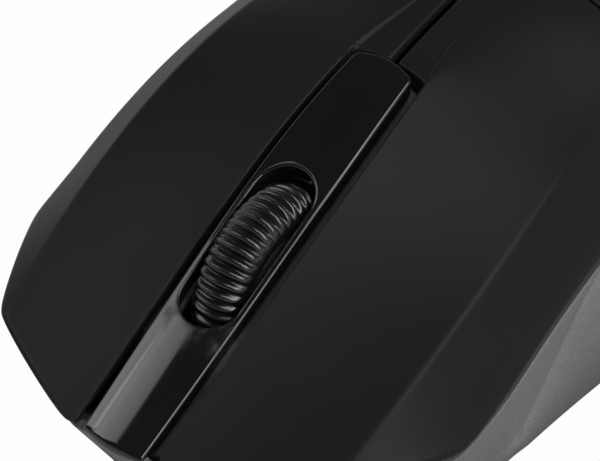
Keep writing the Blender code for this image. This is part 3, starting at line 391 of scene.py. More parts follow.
class Form:
    """The mouse's outlines and heights, worked out from its sizes."""

    def __init__(self, sizes):
        self.sizes = sizes

    def tail_share(self, y):
        """0 at the crest and 1 at the tail."""
        return np.clip((CREST_Y - y) / (CREST_Y - self.sizes.rear_y), 0, 1)

    def crest(self, y):
        """Height along the middle: a curve down to the lip and a steeper one down to the tail."""
        s = self.sizes
        front = np.clip((y - CREST_Y) / (s.front_y - CREST_Y), 0, None)
        slope = front ** 2 * (CREST_FULLNESS - (CREST_FULLNESS - 1) * front)
        tail = (s.height - s.tail_height) * self.tail_share(y) ** TAIL_FALL
        return s.height - (s.height - s.lip_height) * slope - tail

    def half_width(self, y):
        """Half width of the plan: nose, swept front edge, chamfered and waisted side, round tail."""
        s = self.sizes
        rear = np.clip((HIP_Y - y) / (HIP_Y - s.rear_y), 0, 1)
        side = s.half_width - s.waist * smooth_step(CORNER_Y, HIP_Y, y)
        chamfer = s.half_width - SIDE_SWEEP_INSET - SIDE_SWEEP * (y - s.front_y + SIDE_SWEEP_SETBACK)
        front = s.half_width - FRONT_SWEEP_INSET - FRONT_SWEEP * (y - s.front_y + FRONT_SWEEP_SETBACK)
        nose = np.sqrt(np.clip(s.front_y - y, 0, None) * 2 * NOSE_RADIUS)
        flank = lesser(side, chamfer, CORNER_SOFTNESS / 2)
        edge = lesser(front, nose, np.minimum(CORNER_SOFTNESS, nose))
        return np.maximum(lesser(flank, edge, CORNER_SOFTNESS), 0) * np.sqrt(1 - rear ** 2)

    def lens(self, y, middle, front, rear):
        """A half width that is widest at the wheel and narrows as a square to both ends."""
        ahead = np.clip((y - STRIP_WIDEST_Y) / (self.sizes.front_y - STRIP_WIDEST_Y), 0, 1)
        behind = np.clip((STRIP_WIDEST_Y - y) / (STRIP_WIDEST_Y - STRIP_REAR_Y), 0, 1)
        return middle - (middle - front) * ahead ** 2 - (middle - rear) * behind ** 2

    def strip_half(self, y):
        """Half width of the strip."""
        return self.lens(y, self.sizes.strip_half, STRIP_FRONT_HALF, STRIP_REAR_HALF)

    def channel_half(self, y):
        """Half width of the channel: the strip's half width and a gap."""
        return self.strip_half(y) + self.lens(y, CHANNEL_GAP, CHANNEL_FRONT_GAP, CHANNEL_REAR_GAP)

    def top(self, x, y):
        """Height of the covers: dished fingers, a crease and a facet, blending into a round palm."""
        s = self.sizes
        across = np.abs(x)
        spine = self.crest(y)
        channel = self.channel_half(-lesser(-y, -STRIP_REAR_Y, CHANNEL_EASE))
        crease = s.crease_half - CREASE_BOW * (y - CREASE_Y) ** 2
        drop = s.crease_drop + CREASE_DROP_REAR * np.clip((s.front_y - y) / s.front_y, 0, None) ** 2
        share = (across - channel) / (crease - channel)
        share = -lesser(-share, 0, SHOULDER_EASE * smooth_step(STRIP_REAR_Y, CREST_Y, y))
        dish = FINGER_DISH * smooth_step(DISH_REAR_Y, DISH_FRONT_Y, y)
        crown = spine - drop * ((1 + dish) * share - dish * share ** 2)
        flatten = np.clip((y - FLATTEN_Y) / (s.front_y - FLATTEN_Y), 0, 1) ** FLATTEN_POWER
        slope = FACET_SLOPE - FACET_TWIST * np.clip(CORNER_Y - y, 0, None)
        slope = slope * np.where(across > crease, 1 - FACET_FLATTEN * flatten, 1)
        facet = spine - drop - slope * (across - crease)
        front = lesser(crown, facet, CREASE_SOFTNESS)
        seam = s.tail_height + (s.seam_height - s.tail_height) * (1 - self.tail_share(y) ** 2)
        reach = np.clip(across / np.maximum(self.half_width(y), TINY), 0, 1)
        palm = seam + (spine - seam) * (1 - reach ** PALM_CROWN)
        return palm + (front - palm) * smooth_step(CROSS_SEAM_Y, PALM_BLEND_Y, y)

    def button_top(self, x, y):
        """The top, less a shallow step down behind the strip that narrows and fades along the split."""
        s = self.sizes
        behind = np.clip((STRIP_REAR_Y - CHANNEL_REAR_GAP - y) / s.recess_length, 0, 1)
        half = s.recess_half * (1 - RECESS_TAPER * behind)
        inside = smooth_step(half, half - RECESS_EDGE, np.abs(x))
        return self.top(x, y) - s.recess_depth * inside * (1 - behind ** 2)

    def strip_top(self, x, y):
        """Height of the strip: crest, rise, slight crown across, and sides that fall away in front."""
        share = np.abs(x) / self.strip_half(y)
        beyond = share - STRIP_RIDGE
        fall = STRIP_FALL * (np.sqrt(beyond ** 2 + STRIP_RIDGE_EASE ** 2) + beyond)
        fall = fall * smooth_step(STRIP_FALL_REAR, STRIP_FALL_FRONT, y)
        return self.crest(y) + self.sizes.strip_rise + STRIP_CROWN * (1 - share ** 2) - fall

    def strip_foot(self, x, y):
        """Underside of the strip: an even depth, thinning to its front edge."""
        s = self.sizes
        front = smooth_step(s.front_y - STRIP_THINNING, s.front_y, y)
        return self.crest(y) - STRIP_DEPTH + (STRIP_DEPTH + s.strip_rise - STRIP_EDGE) * front

    def edge_lean(self, y):
        """Inward lean of the outer edge, per depth: strong at the front, slight along the sides."""
        share = np.sqrt(smooth_step(SKIRT_FRONT_Y, self.sizes.front_y, y))
        return SIDE_UNDERCUT + (FRONT_UNDERCUT - SIDE_UNDERCUT) * share

    def rim(self, x, y):
        """Top edge of the lower shell: below the cover by thickness, gap and the button's travel."""
        s = self.sizes
        travel = BUTTON_TRAVEL * np.clip(y - CROSS_SEAM_Y, 0, None) / (s.front_y - CROSS_SEAM_Y)
        return self.top(x, y) - s.thickness - SEAT - travel

    def ridge(self, x, y):
        """Height of the line where the skirt grows out of the side wall, falling to the foot ahead."""
        floor = SHELL_BOX[0].z
        rim = self.rim(x, y)
        share = np.clip((y - SKIRT_REAR_Y) / (SKIRT_FRONT_Y - SKIRT_REAR_Y), 0, 1)
        ridge = rim - (rim - floor) * share ** SKIRT_RISE
        return np.clip(ridge, floor + 3 * BOTTOM_ROUND, rim - SEAT)

    def skirt_share(self, y):
        """0 in front of the skirt and 1 along it."""
        return smooth_step(SKIRT_FRONT_Y + SKIRT_BLEND, SKIRT_FRONT_Y - SKIRT_BLEND, y)

    def flare(self, x, y):
        """How far the skirt's foot stands out beyond the top's outline."""
        reach = np.clip((SKIRT_FRONT_Y - y) / (SKIRT_FRONT_Y - SKIRT_FLARE_Y), 0, None)
        side = np.minimum(self.sizes.skirt_flare * reach ** SKIRT_GROWTH, SKIRT_FLARE_MAX)
        tail = SKIRT_TAIL + (side - SKIRT_TAIL) * (x / self.sizes.half_width) ** 2
        return np.where(y < HIP_Y, tail, side)

    def wall(self, x, y, z):
        """Distance of the shell's outer face from the top's outline: a leaning band, then the skirt."""
        foot = SHELL_BOX[0].z + BOTTOM_ROUND
        lip = self.top(x, y)
        lean = self.edge_lean(y)
        ridge = self.ridge(x, y)
        band = -lean * (lip - np.maximum(z, ridge))
        plain = -lean * (lip - foot)
        share = np.clip((ridge - z) / (ridge - foot), 0, 1)
        blend = self.skirt_share(y)
        target = plain + (self.flare(x, y) - plain) * blend
        straight = band + (plain - band) * share
        skirt = band + (target - band) * (1 - (1 - share) ** 2)
        return straight + (skirt - straight) * blend

    def outline(self, y):
        """Points on the right half's outline at positions along Y."""
        return points_at(self.half_width(y), y)

    def front_line(self, start, count):
        """Points on the right front outline from a position back to the corner, closer at the front."""
        reach = self.sizes.front_y - CORNER_Y
        first = np.arccos((start - CORNER_Y) / reach)
        return self.outline(CORNER_Y + reach * np.cos(np.linspace(first, pi / 2, count)))

    def side_line(self, end, count):
        """Points on the right side's outline from the front corner back to a position."""
        return self.outline(np.linspace(CORNER_Y, end, count))

    def tail_arc(self, start, count):
        """Points on the right half of the tail's ellipse, from a position back to the middle."""
        reach = HIP_Y - self.sizes.rear_y
        first = np.arcsin((HIP_Y - start) / reach)
        return self.outline(HIP_Y - reach * np.sin(np.linspace(first, pi / 2, count)))

    def button_tip(self):
        """Position along Y where the channel's edge meets the front outline, found by halving."""
        low, high = CORNER_Y, self.sizes.front_y
        for _ in range(HALVINGS):
            middle = (low + high) / 2
            if self.half_width(middle) > self.channel_half(middle):
                low = middle
            else:
                high = middle
        return low


# Meshes

def sampled(points, shares):
    """Points of a polyline at shares of its length."""
    steps = np.hypot(*np.diff(points, axis=0).T)
    length = np.concatenate([[0], np.cumsum(steps)])
    length = length / length[-1]
    return points_at(*[np.interp(shares, length, values) for values in points.T])


def facing(points, turn, closed=False):
    """Unit directions square to a line of points: its run turned a quarter left (1) or right (-1)."""
    if closed:
        along = np.roll(points, -1, axis=0) - np.roll(points, 1, axis=0)
    else:
        along = np.gradient(points, axis=0)
    along = along / np.maximum(np.hypot(along[:, 0], along[:, 1]), TINIEST)[:, None]
    return turn * points_at(-along[:, 1], along[:, 0])


def blended(first, last, count, crowding=1):
    """Points on straight lines between two rows of points, with both ends, crowded at the first."""
    share = np.linspace(0, 1, count)[None, :, None] ** crowding
    return first[:, None] * (1 - share) + last[:, None] * share


def plate_rings(inner, outer, inner_out, outer_out, upper, lower, radius, columns, lean=0, crowding=1):
    """Closed rings of points for a plate between two edge lines, one ring for each pair of points.

    A ring runs over the top from the inner to the outer edge, round a quarter circle
    (edge + outward * radius * sin, height - radius * (1 - cos)), down the leaning outer wall,
    back along the underside, up the inner wall and round its quarter circle.
    """
    width = np.hypot(*(outer - inner).T)
    size = np.minimum(radius, ROUND_SHARE * width)[:, None]
    turn = quarter(ROUND_STEPS)[1:]
    drop = size * (1 - np.cos(turn))
    foot = outer - outer_out * np.minimum(lean, LEAN_SHARE * width)[:, None]

    def rounded_edge(start, outward):
        return start[:, None] + outward[:, None] * (size * np.sin(turn))[..., None]

    def raised(plan, surface, fall=0):
        x, y = plan[..., 0], plan[..., 1]
        return points_at(x, y, surface(x, y) - fall)

    inner_start = inner - inner_out * size
    outer_start = outer - outer_out * size
    return np.concatenate([raised(blended(inner_start, outer_start, columns, crowding), upper),
                           raised(rounded_edge(outer_start, outer_out), upper, drop),
                           raised(blended(foot, inner, UNDER_COLUMNS), lower),
                           raised(rounded_edge(inner_start, inner_out), upper, drop)[:, ::-1]], axis=1)


def add_piece(name, rings, body, slot, *nodes, looped=False, edge=0.0):
    """Joins rings of points into a closed piece, with end faces unless the rings run in a loop.

    Quads join each ring to the next. The edge values, one for each point of one ring or of all,
    are kept in an attribute that the finishes read for wear on their edges and for painted shade
    and painted highlight. The piece moves with its body, has the finish of its slot and hides
    the nodes that it stands for.
    """
    count, around, _ = rings.shape
    first = np.arange(count if looped else count - 1)[:, None] * around
    second = (first + around) % (count * around)
    here = np.arange(around)
    there = np.roll(here, -1)
    quads = points_at(first + here, first + there, second + there, second + here)
    faces = quads.reshape(-1, 4).tolist()
    if not looped:
        faces += [here[::-1].tolist(), (here + (count - 1) * around).tolist()]
    mesh = bpy.data.meshes.new(name)
    mesh.from_pydata(rings.reshape(-1, 3).tolist(), [], faces)
    worn = np.broadcast_to(edge, (count, around)).ravel()
    values = mesh.attributes.new("edge", "FLOAT", "POINT")
    values.data.foreach_set("value", worn.astype(np.float32))
    bm = bmesh.new()
    bm.from_mesh(mesh)
    bmesh.ops.remove_doubles(bm, verts=bm.verts, dist=MERGE_DISTANCE)
    bmesh.ops.dissolve_degenerate(bm, edges=bm.edges, dist=LEAST_EDGE)
    bmesh.ops.recalc_face_normals(bm, faces=bm.faces)
    bm.to_mesh(mesh)
    bm.free()
    mesh.shade_smooth()
    mesh.set_sharp_from_angle(angle=SHARP_ANGLE)
    mesh.materials.append(finish_of(slot))
    piece = bpy.data.objects.new(name, mesh)
    bpy.context.scene.collection.objects.link(piece)
    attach(piece, body)
    if nodes:
        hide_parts(*nodes)


# Finishes

def paired(operation):
    """An operator of values and its reflected form, each as one Math node."""
    def plain(self, other):
        return self.join(operation, self, other)

    def reflected(self, other):
        return self.join(operation, other, self)

    return plain, reflected


class Value:
    """A node's output that takes part in sums: an expression on values adds its Math nodes."""

    def __init__(self, nodes, socket):
        self.nodes = nodes
        self.socket = socket

    def join(self, operation, first, second):
        node = self.nodes.add("ShaderNodeMath", {"operation": operation}, {0: first, 1: second})
        return Value(self.nodes, node.outputs[0])

    __add__, __radd__ = paired("ADD")
    __sub__, __rsub__ = paired("SUBTRACT")
    __mul__, __rmul__ = paired("MULTIPLY")
    __truediv__, __rtruediv__ = paired("DIVIDE")
    __pow__, __rpow__ = paired("POWER")
    __gt__, __lt__ = paired("GREATER_THAN")


class Nodes:
    """A node tree of a material or of the room."""

    def __init__(self, tree):
        self.tree = tree

    def add(self, kind, settings, inputs):
        """Adds a node: its settings first, then the values or links of its sockets."""
        node = self.tree.nodes.new(kind)
        for name, value in settings.items():
            setattr(node, name, value)
        self.feed(node, inputs)
        return node

    def feed(self, node, inputs):
        """Gives a node's sockets their values or links."""
        for name, value in inputs.items():
            if isinstance(value, Value):
                self.tree.links.new(value.socket, node.inputs[name])
            else:
                node.inputs[name].default_value = value

    def rays(self, *names):
        """1 for a ray of one of these kinds, such as one that is seen straight or in a gloss."""
        path = self.add("ShaderNodeLightPath", {}, {})
        kinds = [Value(self, path.outputs[name]) for name in names]
        return sum(kinds[1:], kinds[0]) > 0.5


class Finish(Nodes):
    """A material made of nodes, with short ways to add the ones that the pieces use."""

    def __init__(self, name):
        self.material = bpy.data.materials.new(name)
        self.material.use_nodes = True
        super().__init__(self.material.node_tree)
        self.shader = self.tree.nodes["Principled BSDF"]

    def place(self):
        """Position on the piece."""
        return Value(self, self.add("ShaderNodeTexCoord", {}, {}).outputs["Object"])

    def along(self):
        """Position along Y on the piece."""
        parts = self.add("ShaderNodeSeparateXYZ", {}, {"Vector": self.place()})
        return Value(self, parts.outputs["Y"])

    def noise(self, scale, detail, stretch=(1, 1, 1)):
        """Even noise from 0 to 1, with this many waves in a metre along each stretched axis."""
        spot = self.add("ShaderNodeMapping", {}, {"Vector": self.place(), "Scale": stretch})
        node = self.add("ShaderNodeTexNoise", {}, {"Vector": Value(self, spot.outputs[0]),
                                                  "Scale": scale, "Detail": detail})
        return Value(self, node.outputs["Fac"])

    def worn(self):
        """Edge value of the piece: 1 on edges with wear and on painted highlights, -1 on painted shade
        and 0 elsewhere.
        """
        node = self.add("ShaderNodeAttribute", {"attribute_name": "edge"}, {})
        return Value(self, node.outputs["Fac"])

    def mixed(self, share, first, second):
        """A colour between two colours."""
        node = self.add("ShaderNodeMix", {"data_type": "RGBA"}, {"Factor": share})
        self.feed(node, {6: first, 7: second})
        return Value(self, node.outputs[2])

    def shaded(self, share, base, dark, pale):
        """A colour between a darker and a paler shade of a base colour."""
        return self.mixed(share, shade(base, dark), shade(base, pale))

    def bump(self, height, depth):
        """Normals for a height from 0 to 1 over this depth."""
        node = self.add("ShaderNodeBump", {}, {"Height": height, "Distance": depth, "Strength": 1.0})
        return Value(self, node.outputs["Normal"])

    def surface(self, **inputs):
        """Sets the shader's sockets. An underscore in a name stands for a space."""
        self.feed(self.shader, {name.replace("_", " "): value for name, value in inputs.items()})
        return self.material


def shade(value, factor):
    """A colour made lighter or darker, with its alpha."""
    return (*[min(1.0, part * factor) for part in value], 1.0)


def grained_plastic(name, base, roughness, gloss, grain, depth, spread, paling=0.3):
    """Moulded plastic: cloudy tone, a fine spark grain, paler on edges with wear and on painted
    highlights, darker under painted shade.
    """
    finish = Finish(name)
    cloud = finish.noise(scale=120, detail=4)
    fine = finish.noise(scale=grain, detail=2)
    worn = finish.worn()
    grainy = 0.35 * cloud + 0.65 * fine
    # Darker tone: painted shade; paler tone: edge wear and painted highlight, picked by the edge value
    painted_shade_tone, rubbed_and_highlight_tone = [finish.shaded(grainy, base, (1 - spread) * level, (1 + spread) * level)
                      for level in (1 - paling, 1 + paling)]
    tone = finish.mixed(0.5 + 0.5 * worn, painted_shade_tone, rubbed_and_highlight_tone)
    return finish.surface(Base_Color=tone, Roughness=roughness + 0.10 * (cloud - 0.5) - 0.06 * worn,
                          Specular_IOR_Level=gloss, Normal=finish.bump(fine, depth))


def polished_plastic(name, base):
    """Piano-black plastic: nearly mirror smooth, with faint smears, a slight ripple and a dull film.

    Fingers leave the film in front of the wheel. It is a patchy noise over one plus the fourth
    power of the distance from its middle, in reaches.
    """
    finish = Finish(name)
    smear = finish.noise(scale=160, detail=5, stretch=(1, 0.35, 1))
    ripple = finish.noise(scale=90, detail=1)
    patches = finish.noise(scale=700, detail=5, stretch=(1, 0.6, 1))
    square = ((finish.along() - FILM_Y) * (1 / FILM_REACH)) ** 2
    film = patches ** 3 / (1 + square * square)
    tone = finish.shaded(smear, base, dark=0.8, pale=1.3)
    tone = finish.mixed(FILM_PALING * film, tone, FILM_COLOUR)
    return finish.surface(Base_Color=tone, Roughness=0.05 + 0.07 * smear ** 2 + FILM_DULLING * film,
                          Normal=finish.bump(ripple, depth=0.000008))


def wheel_rubber(name, base):
    """Soft-touch rubber: dark, half glossy, with a faint bloom and a fine tooth."""
    finish = Finish(name)
    bloom = finish.noise(scale=700, detail=4)
    tooth = finish.noise(scale=9000, detail=2)
    tone = finish.shaded(bloom, base, dark=0.7, pale=1.5)
    return finish.surface(Base_Color=tone, Roughness=0.13 + 0.16 * bloom, Specular_IOR_Level=0.60,
                          Normal=finish.bump(tooth, depth=0.000012))


def brushed_metal(name, base):
    """Bare metal with fine streaks and dull patches."""
    finish = Finish(name)
    streak = finish.noise(scale=900, detail=3, stretch=(1, 1, 12))
    patch = finish.noise(scale=220, detail=3)
    tone = finish.shaded(patch, base, dark=0.8, pale=1.15)
    return finish.surface(Base_Color=tone, Metallic=1.0, Roughness=0.22 + 0.18 * streak,
                          Normal=finish.bump(streak, depth=0.000006))


def lacquered_board(name, base):
    """Green lacquer over glass cloth, with paler copper runs that show through."""
    finish = Finish(name)
    runs = finish.noise(scale=420, detail=1, stretch=(1, 0.12, 1)) > 0.56
    cloth = finish.noise(scale=2600, detail=2)
    tone = finish.shaded(0.4 * runs + 0.25 * cloth, base, dark=0.8, pale=2.2)
    return finish.surface(Base_Color=tone, Roughness=0.35 + 0.1 * cloth,
                          Normal=finish.bump(runs, depth=0.00002))


def clear_plastic(name, base):
    """Clear moulded plastic with flow marks."""
    finish = Finish(name)
    flow = finish.noise(scale=500, detail=3)
    tone = finish.shaded(flow, base, dark=0.9, pale=1.1)
    return finish.surface(Base_Color=tone, Roughness=0.04 + 0.05 * flow, Transmission_Weight=0.9)


def printed_sleeve(name, base):
    """Shrunk sleeve of a cell: satin metal tone with fine lengthwise draw marks."""
    finish = Finish(name)
    draw = finish.noise(scale=1500, detail=3, stretch=(1, 0.08, 1))
    tone = finish.shaded(draw, base, dark=0.85, pale=1.15)
    return finish.surface(Base_Color=tone, Metallic=0.6, Roughness=0.3 + 0.12 * draw)


# Finish of each material slot: its name, how it is made, its colour and its settings
FINISHES = {
    # The shell's last setting is the strength of its painted shade at the foot and painted highlight on
    # the ridge
    "grey_shell": ("shell_plastic", grained_plastic, "shell",
                   dict(roughness=0.50, gloss=0.40, grain=2600, depth=0.000080, spread=0.45,
                        paling=0.4)),
    "black_cover": ("cover_plastic", grained_plastic, "cover",
                    dict(roughness=0.40, gloss=0.09, grain=5200, depth=0.000008, spread=0.12)),
    "dark_plastic": ("dark_plastic", grained_plastic, "dark",
                     dict(roughness=0.48, gloss=0.35, grain=4200, depth=0.000015, spread=0.15)),
    "white_plastic": ("white_plastic", grained_plastic, "white",
                      dict(roughness=0.42, gloss=0.50, grain=4200, depth=0.000010, spread=0.05)),
    "glide_foot": ("glide_plastic", grained_plastic, "glide",
                   dict(roughness=0.32, gloss=0.50, grain=2600, depth=0.000008, spread=0.20)),
    "gloss_strip": ("strip_gloss", polished_plastic, "strip", {}),
    "wheel_rubber": ("tyre_rubber", wheel_rubber, "rubber", {}),
    "circuit_board": ("board_lacquer", lacquered_board, "board", {}),
    "clear_lens": ("lens_plastic", clear_plastic, "lens", {}),
    "red_light": ("light_plastic", clear_plastic, "light", {}),
    "steel": ("bare_steel", brushed_metal, "steel", {}),
    "cell": ("cell_sleeve", printed_sleeve, "cell", {}),
}


def finish_of(slot):
    """The finish of a material slot, made the first time that it is asked for."""
    name, make, part, settings = FINISHES[slot]
    base = getattr(bpy.context.scene.mouse_colours, part)
    return bpy.data.materials.get(name) or make(name, base, **settings)


# Pieces

def button_lines(form):
    """A button's inner and outer edge from its front tip to the cross seam, as dense points.

    The inner edge runs along the channel, round its rear corner, along the strip's bowed end
    and round into the split. The outer edge is the swept front and then the side.
    """
    half_split = form.sizes.split / 2
    tip = form.button_tip()
    end = STRIP_REAR_Y - CHANNEL_REAR_GAP
    y = np.linspace(tip, end + CHANNEL_CORNER, LINE_POINTS)
    channel = points_at(form.channel_half(y), y)
    wide = channel[-1, 0]
    turn = quarter(CHANNEL_CORNER_POINTS)[1:]
    hollow = points_at(wide - CHANNEL_CORNER * (1 - np.cos(turn)),
                       end + CHANNEL_CORNER * (1 - np.sin(turn)))
    x = np.linspace(wide - CHANNEL_CORNER, half_split + SPLIT_CORNER, CHANNEL_END_POINTS)[1:]
    bow = STRIP_REAR_BOW * (1 - (x / (wide - CHANNEL_CORNER)) ** 2)
    behind = points_at(x, end - bow)
    low = behind[-1, 1]
    corner = points_at(half_split + SPLIT_CORNER * (1 - np.sin(turn)),
                       low - SPLIT_CORNER * (1 - np.cos(turn)))
    split = points_at(half_split, np.linspace(low - SPLIT_CORNER, CROSS_SEAM_Y, SPLIT_POINTS)[1:])
    inner = np.concatenate([channel, hollow, behind, corner, split])
    outer = np.concatenate([form.front_line(tip, FRONT_POINTS),
                            form.side_line(CROSS_SEAM_Y, BUTTON_SIDE_POINTS)[1:]])
    return inner, outer


def seam_drop(y, seam, radius):
    """Fall of a quarter-round edge at a cross seam, by distance from the seam."""
    near = np.clip(1 - np.abs(y - seam) / radius, 0, 1)
    return radius * (1 - np.sqrt(1 - near ** 2))


def worn_ring(columns):
    """Edge values of a plate's ring: 1 on its two quarter rounds, fading over the next columns."""
    fade = np.clip(1 - np.arange(columns) / FADE_COLUMNS, 0, 1)
    top = np.maximum(fade, fade[::-1])
    rounds = np.ones(ROUND_STEPS - 1)
    return np.concatenate([top, rounds, np.zeros(UNDER_COLUMNS), rounds])


def oval(low, high):
    """An ellipse in a box's plan: middle + half size * (cos, sin)."""
    turn = loop_steps(2 * pi, OVAL_POINTS)
    return points_at((low.x + high.x) / 2 + (high.x - low.x) / 2 * np.cos(turn),
                     (low.y + high.y) / 2 + (high.y - low.y) / 2 * np.sin(turn))


def rounded(low, high, corner):
    """A rectangle with round corners in a box's plan: each corner's middle + radius * (cos, sin)."""
    turn = loop_steps(2 * pi, CORNER_POINTS)
    x = np.where(np.cos(turn) > 0, high.x - corner, low.x + corner) + corner * np.cos(turn)
    y = np.where(np.sin(turn) > 0, high.y - corner, low.y + corner) + corner * np.sin(turn)
    outline = points_at(x, y)
    return sampled(np.concatenate([outline, outline[:1]]), loop_steps(1, BLOCK_POINTS))


def stacked(outline, low, high, radius):
    """Rings of an upright block: a face drawn in to its middle below, a quarter round, wall and lid."""
    middle = outline.mean(axis=0)
    turn = quarter(ROUND_STEPS)
    share = radius / np.hypot(*(outline - middle).T).min()
    inner = np.linspace(FACE_HUB, 1, FACE_ROWS)[:-1] * (1 - share)
    scale = np.concatenate([inner, 1 - share * (1 - np.sin(turn)), [1, FACE_HUB]])
    level = np.concatenate([np.full(len(inner), low), low + radius * (1 - np.cos(turn)), [high, high]])
    plan = middle + (outline - middle) * scale[:, None, None]
    return points_at(plan[..., 0], plan[..., 1], level[:, None])


class MOUSE_OT_buttons(Operator):
    """Make the two button covers"""
    bl_idname = "mouse.buttons"
    bl_label = "Buttons"

    def execute(self, context):
        form = Form(context.scene.mouse_sizes)
        s = form.sizes
        inner, outer = button_lines(form)
        length = np.hypot(*np.diff(inner, axis=0).T).sum()
        corner = 1 - (STRIP_REAR_Y - CROSS_SEAM_Y + s.strip_half) / length
        near = s.edge_round * (1 - np.sin(quarter(ROUND_STEPS))) / length
        shares = np.unique(np.concatenate([np.linspace(0, 1, BUTTON_ROWS), 1 - near,
                                           np.linspace(0, TIP_SPAN, TIP_ROWS),
                                           corner + np.linspace(*CORNER_SPAN, CORNER_ROWS)]))
        inner, outer = sampled(inner, shares), sampled(outer, shares)

        def upper(x, y):
            return form.button_top(x, y) - seam_drop(y, CROSS_SEAM_Y, s.edge_round)

        def lower(x, y):
            """The top less the thickness, which is less at the front tip and away from the edges."""
            away = np.hypot(x - inner[0, 0], y - inner[0, 1])
            tip = TIP_SHARE + (1 - TIP_SHARE) * smooth_step(0, TIP_LENGTH, away)
            reach = x / np.maximum(form.half_width(y), x + TINY)
            outside = smooth_step(HOLLOW_START, HOLLOW_END, reach)
            inside = smooth_step(HOLLOW_EDGE, 0, x - form.channel_half(y))
            hollow = HOLLOW_SHARE + (1 - HOLLOW_SHARE) * np.maximum(outside, inside)
            return form.top(x, y) - s.thickness * tip * hollow

        lean = form.edge_lean(outer[:, 1]) * s.thickness
        rings = plate_rings(inner, outer, facing(inner, -1), facing(outer, 1), upper, lower,
                            s.edge_round, BUTTON_COLUMNS, lean, INNER_CROWDING)
        for name, side in (("left_button", -1), ("right_button", 1)):
            add_piece(name + "_cover", rings * (side, 1, 1), name, "black_cover", name,
                      edge=worn_ring(BUTTON_COLUMNS))
        return {"FINISHED"}


class MOUSE_OT_palm(Operator):
    """Make the palm cover and the lip under its seam"""
    bl_idname = "mouse.palm"
    bl_label = "Palm cover"

    def execute(self, context):
        form = Form(context.scene.mouse_sizes)
        self.cover(form)
        self.lip(form)
        return {"FINISHED"}

    def cover(self, form):
        """The plate between the cross seam and the tail's ellipse, at the height of the top."""
        s = form.sizes
        seam = CROSS_SEAM_Y - s.cross_gap
        half = form.tail_arc(seam, LINE_POINTS)
        outer = np.concatenate([half * (-1, 1), half[-2::-1]])
        near = np.linspace(0, PALM_END_SPAN, PALM_END_ROWS)
        shares = np.unique(np.concatenate([np.linspace(0, 1, PALM_ROWS), near, 1 - near]))
        outer = sampled(outer, shares)
        inner = points_at(np.interp(shares, (0, 1), (outer[0, 0], outer[-1, 0])), seam)

        def lower(x, y):
            return form.top(x, y) - s.thickness

        lean = form.edge_lean(outer[:, 1]) * s.thickness
        rings = plate_rings(inner, outer, facing(inner, 1), facing(outer, -1), form.top, lower,
                            s.edge_round, PALM_COLUMNS, lean)
        add_piece("palm_cover_skin", rings, "base", "black_cover", "palm_cover",
                  edge=worn_ring(PALM_COLUMNS))

    def lip(self, form):
        """A dark band under the cross seam: the top's height, less the cover's thickness and a gap."""
        x = np.linspace(-1, 1, LIP_ROWS) * LIP_WIDTH * form.half_width(CROSS_SEAM_Y)
        front = points_at(x, CROSS_SEAM_Y + LIP_REACH)
        rear = points_at(x, CROSS_SEAM_Y - LIP_REACH)
        forward = np.tile((0.0, 1.0), (LIP_ROWS, 1))

        def upper(x, y):
            return form.top(x, y) - form.sizes.thickness - SEAT

        def lower(x, y):
            return upper(x, y) - LIP_THICKNESS

        rings = plate_rings(front, rear, forward, -forward, upper, lower, LIP_THICKNESS / 2,
                            LIP_COLUMNS)
        add_piece("seam_lip", rings, "base", "dark_plastic")


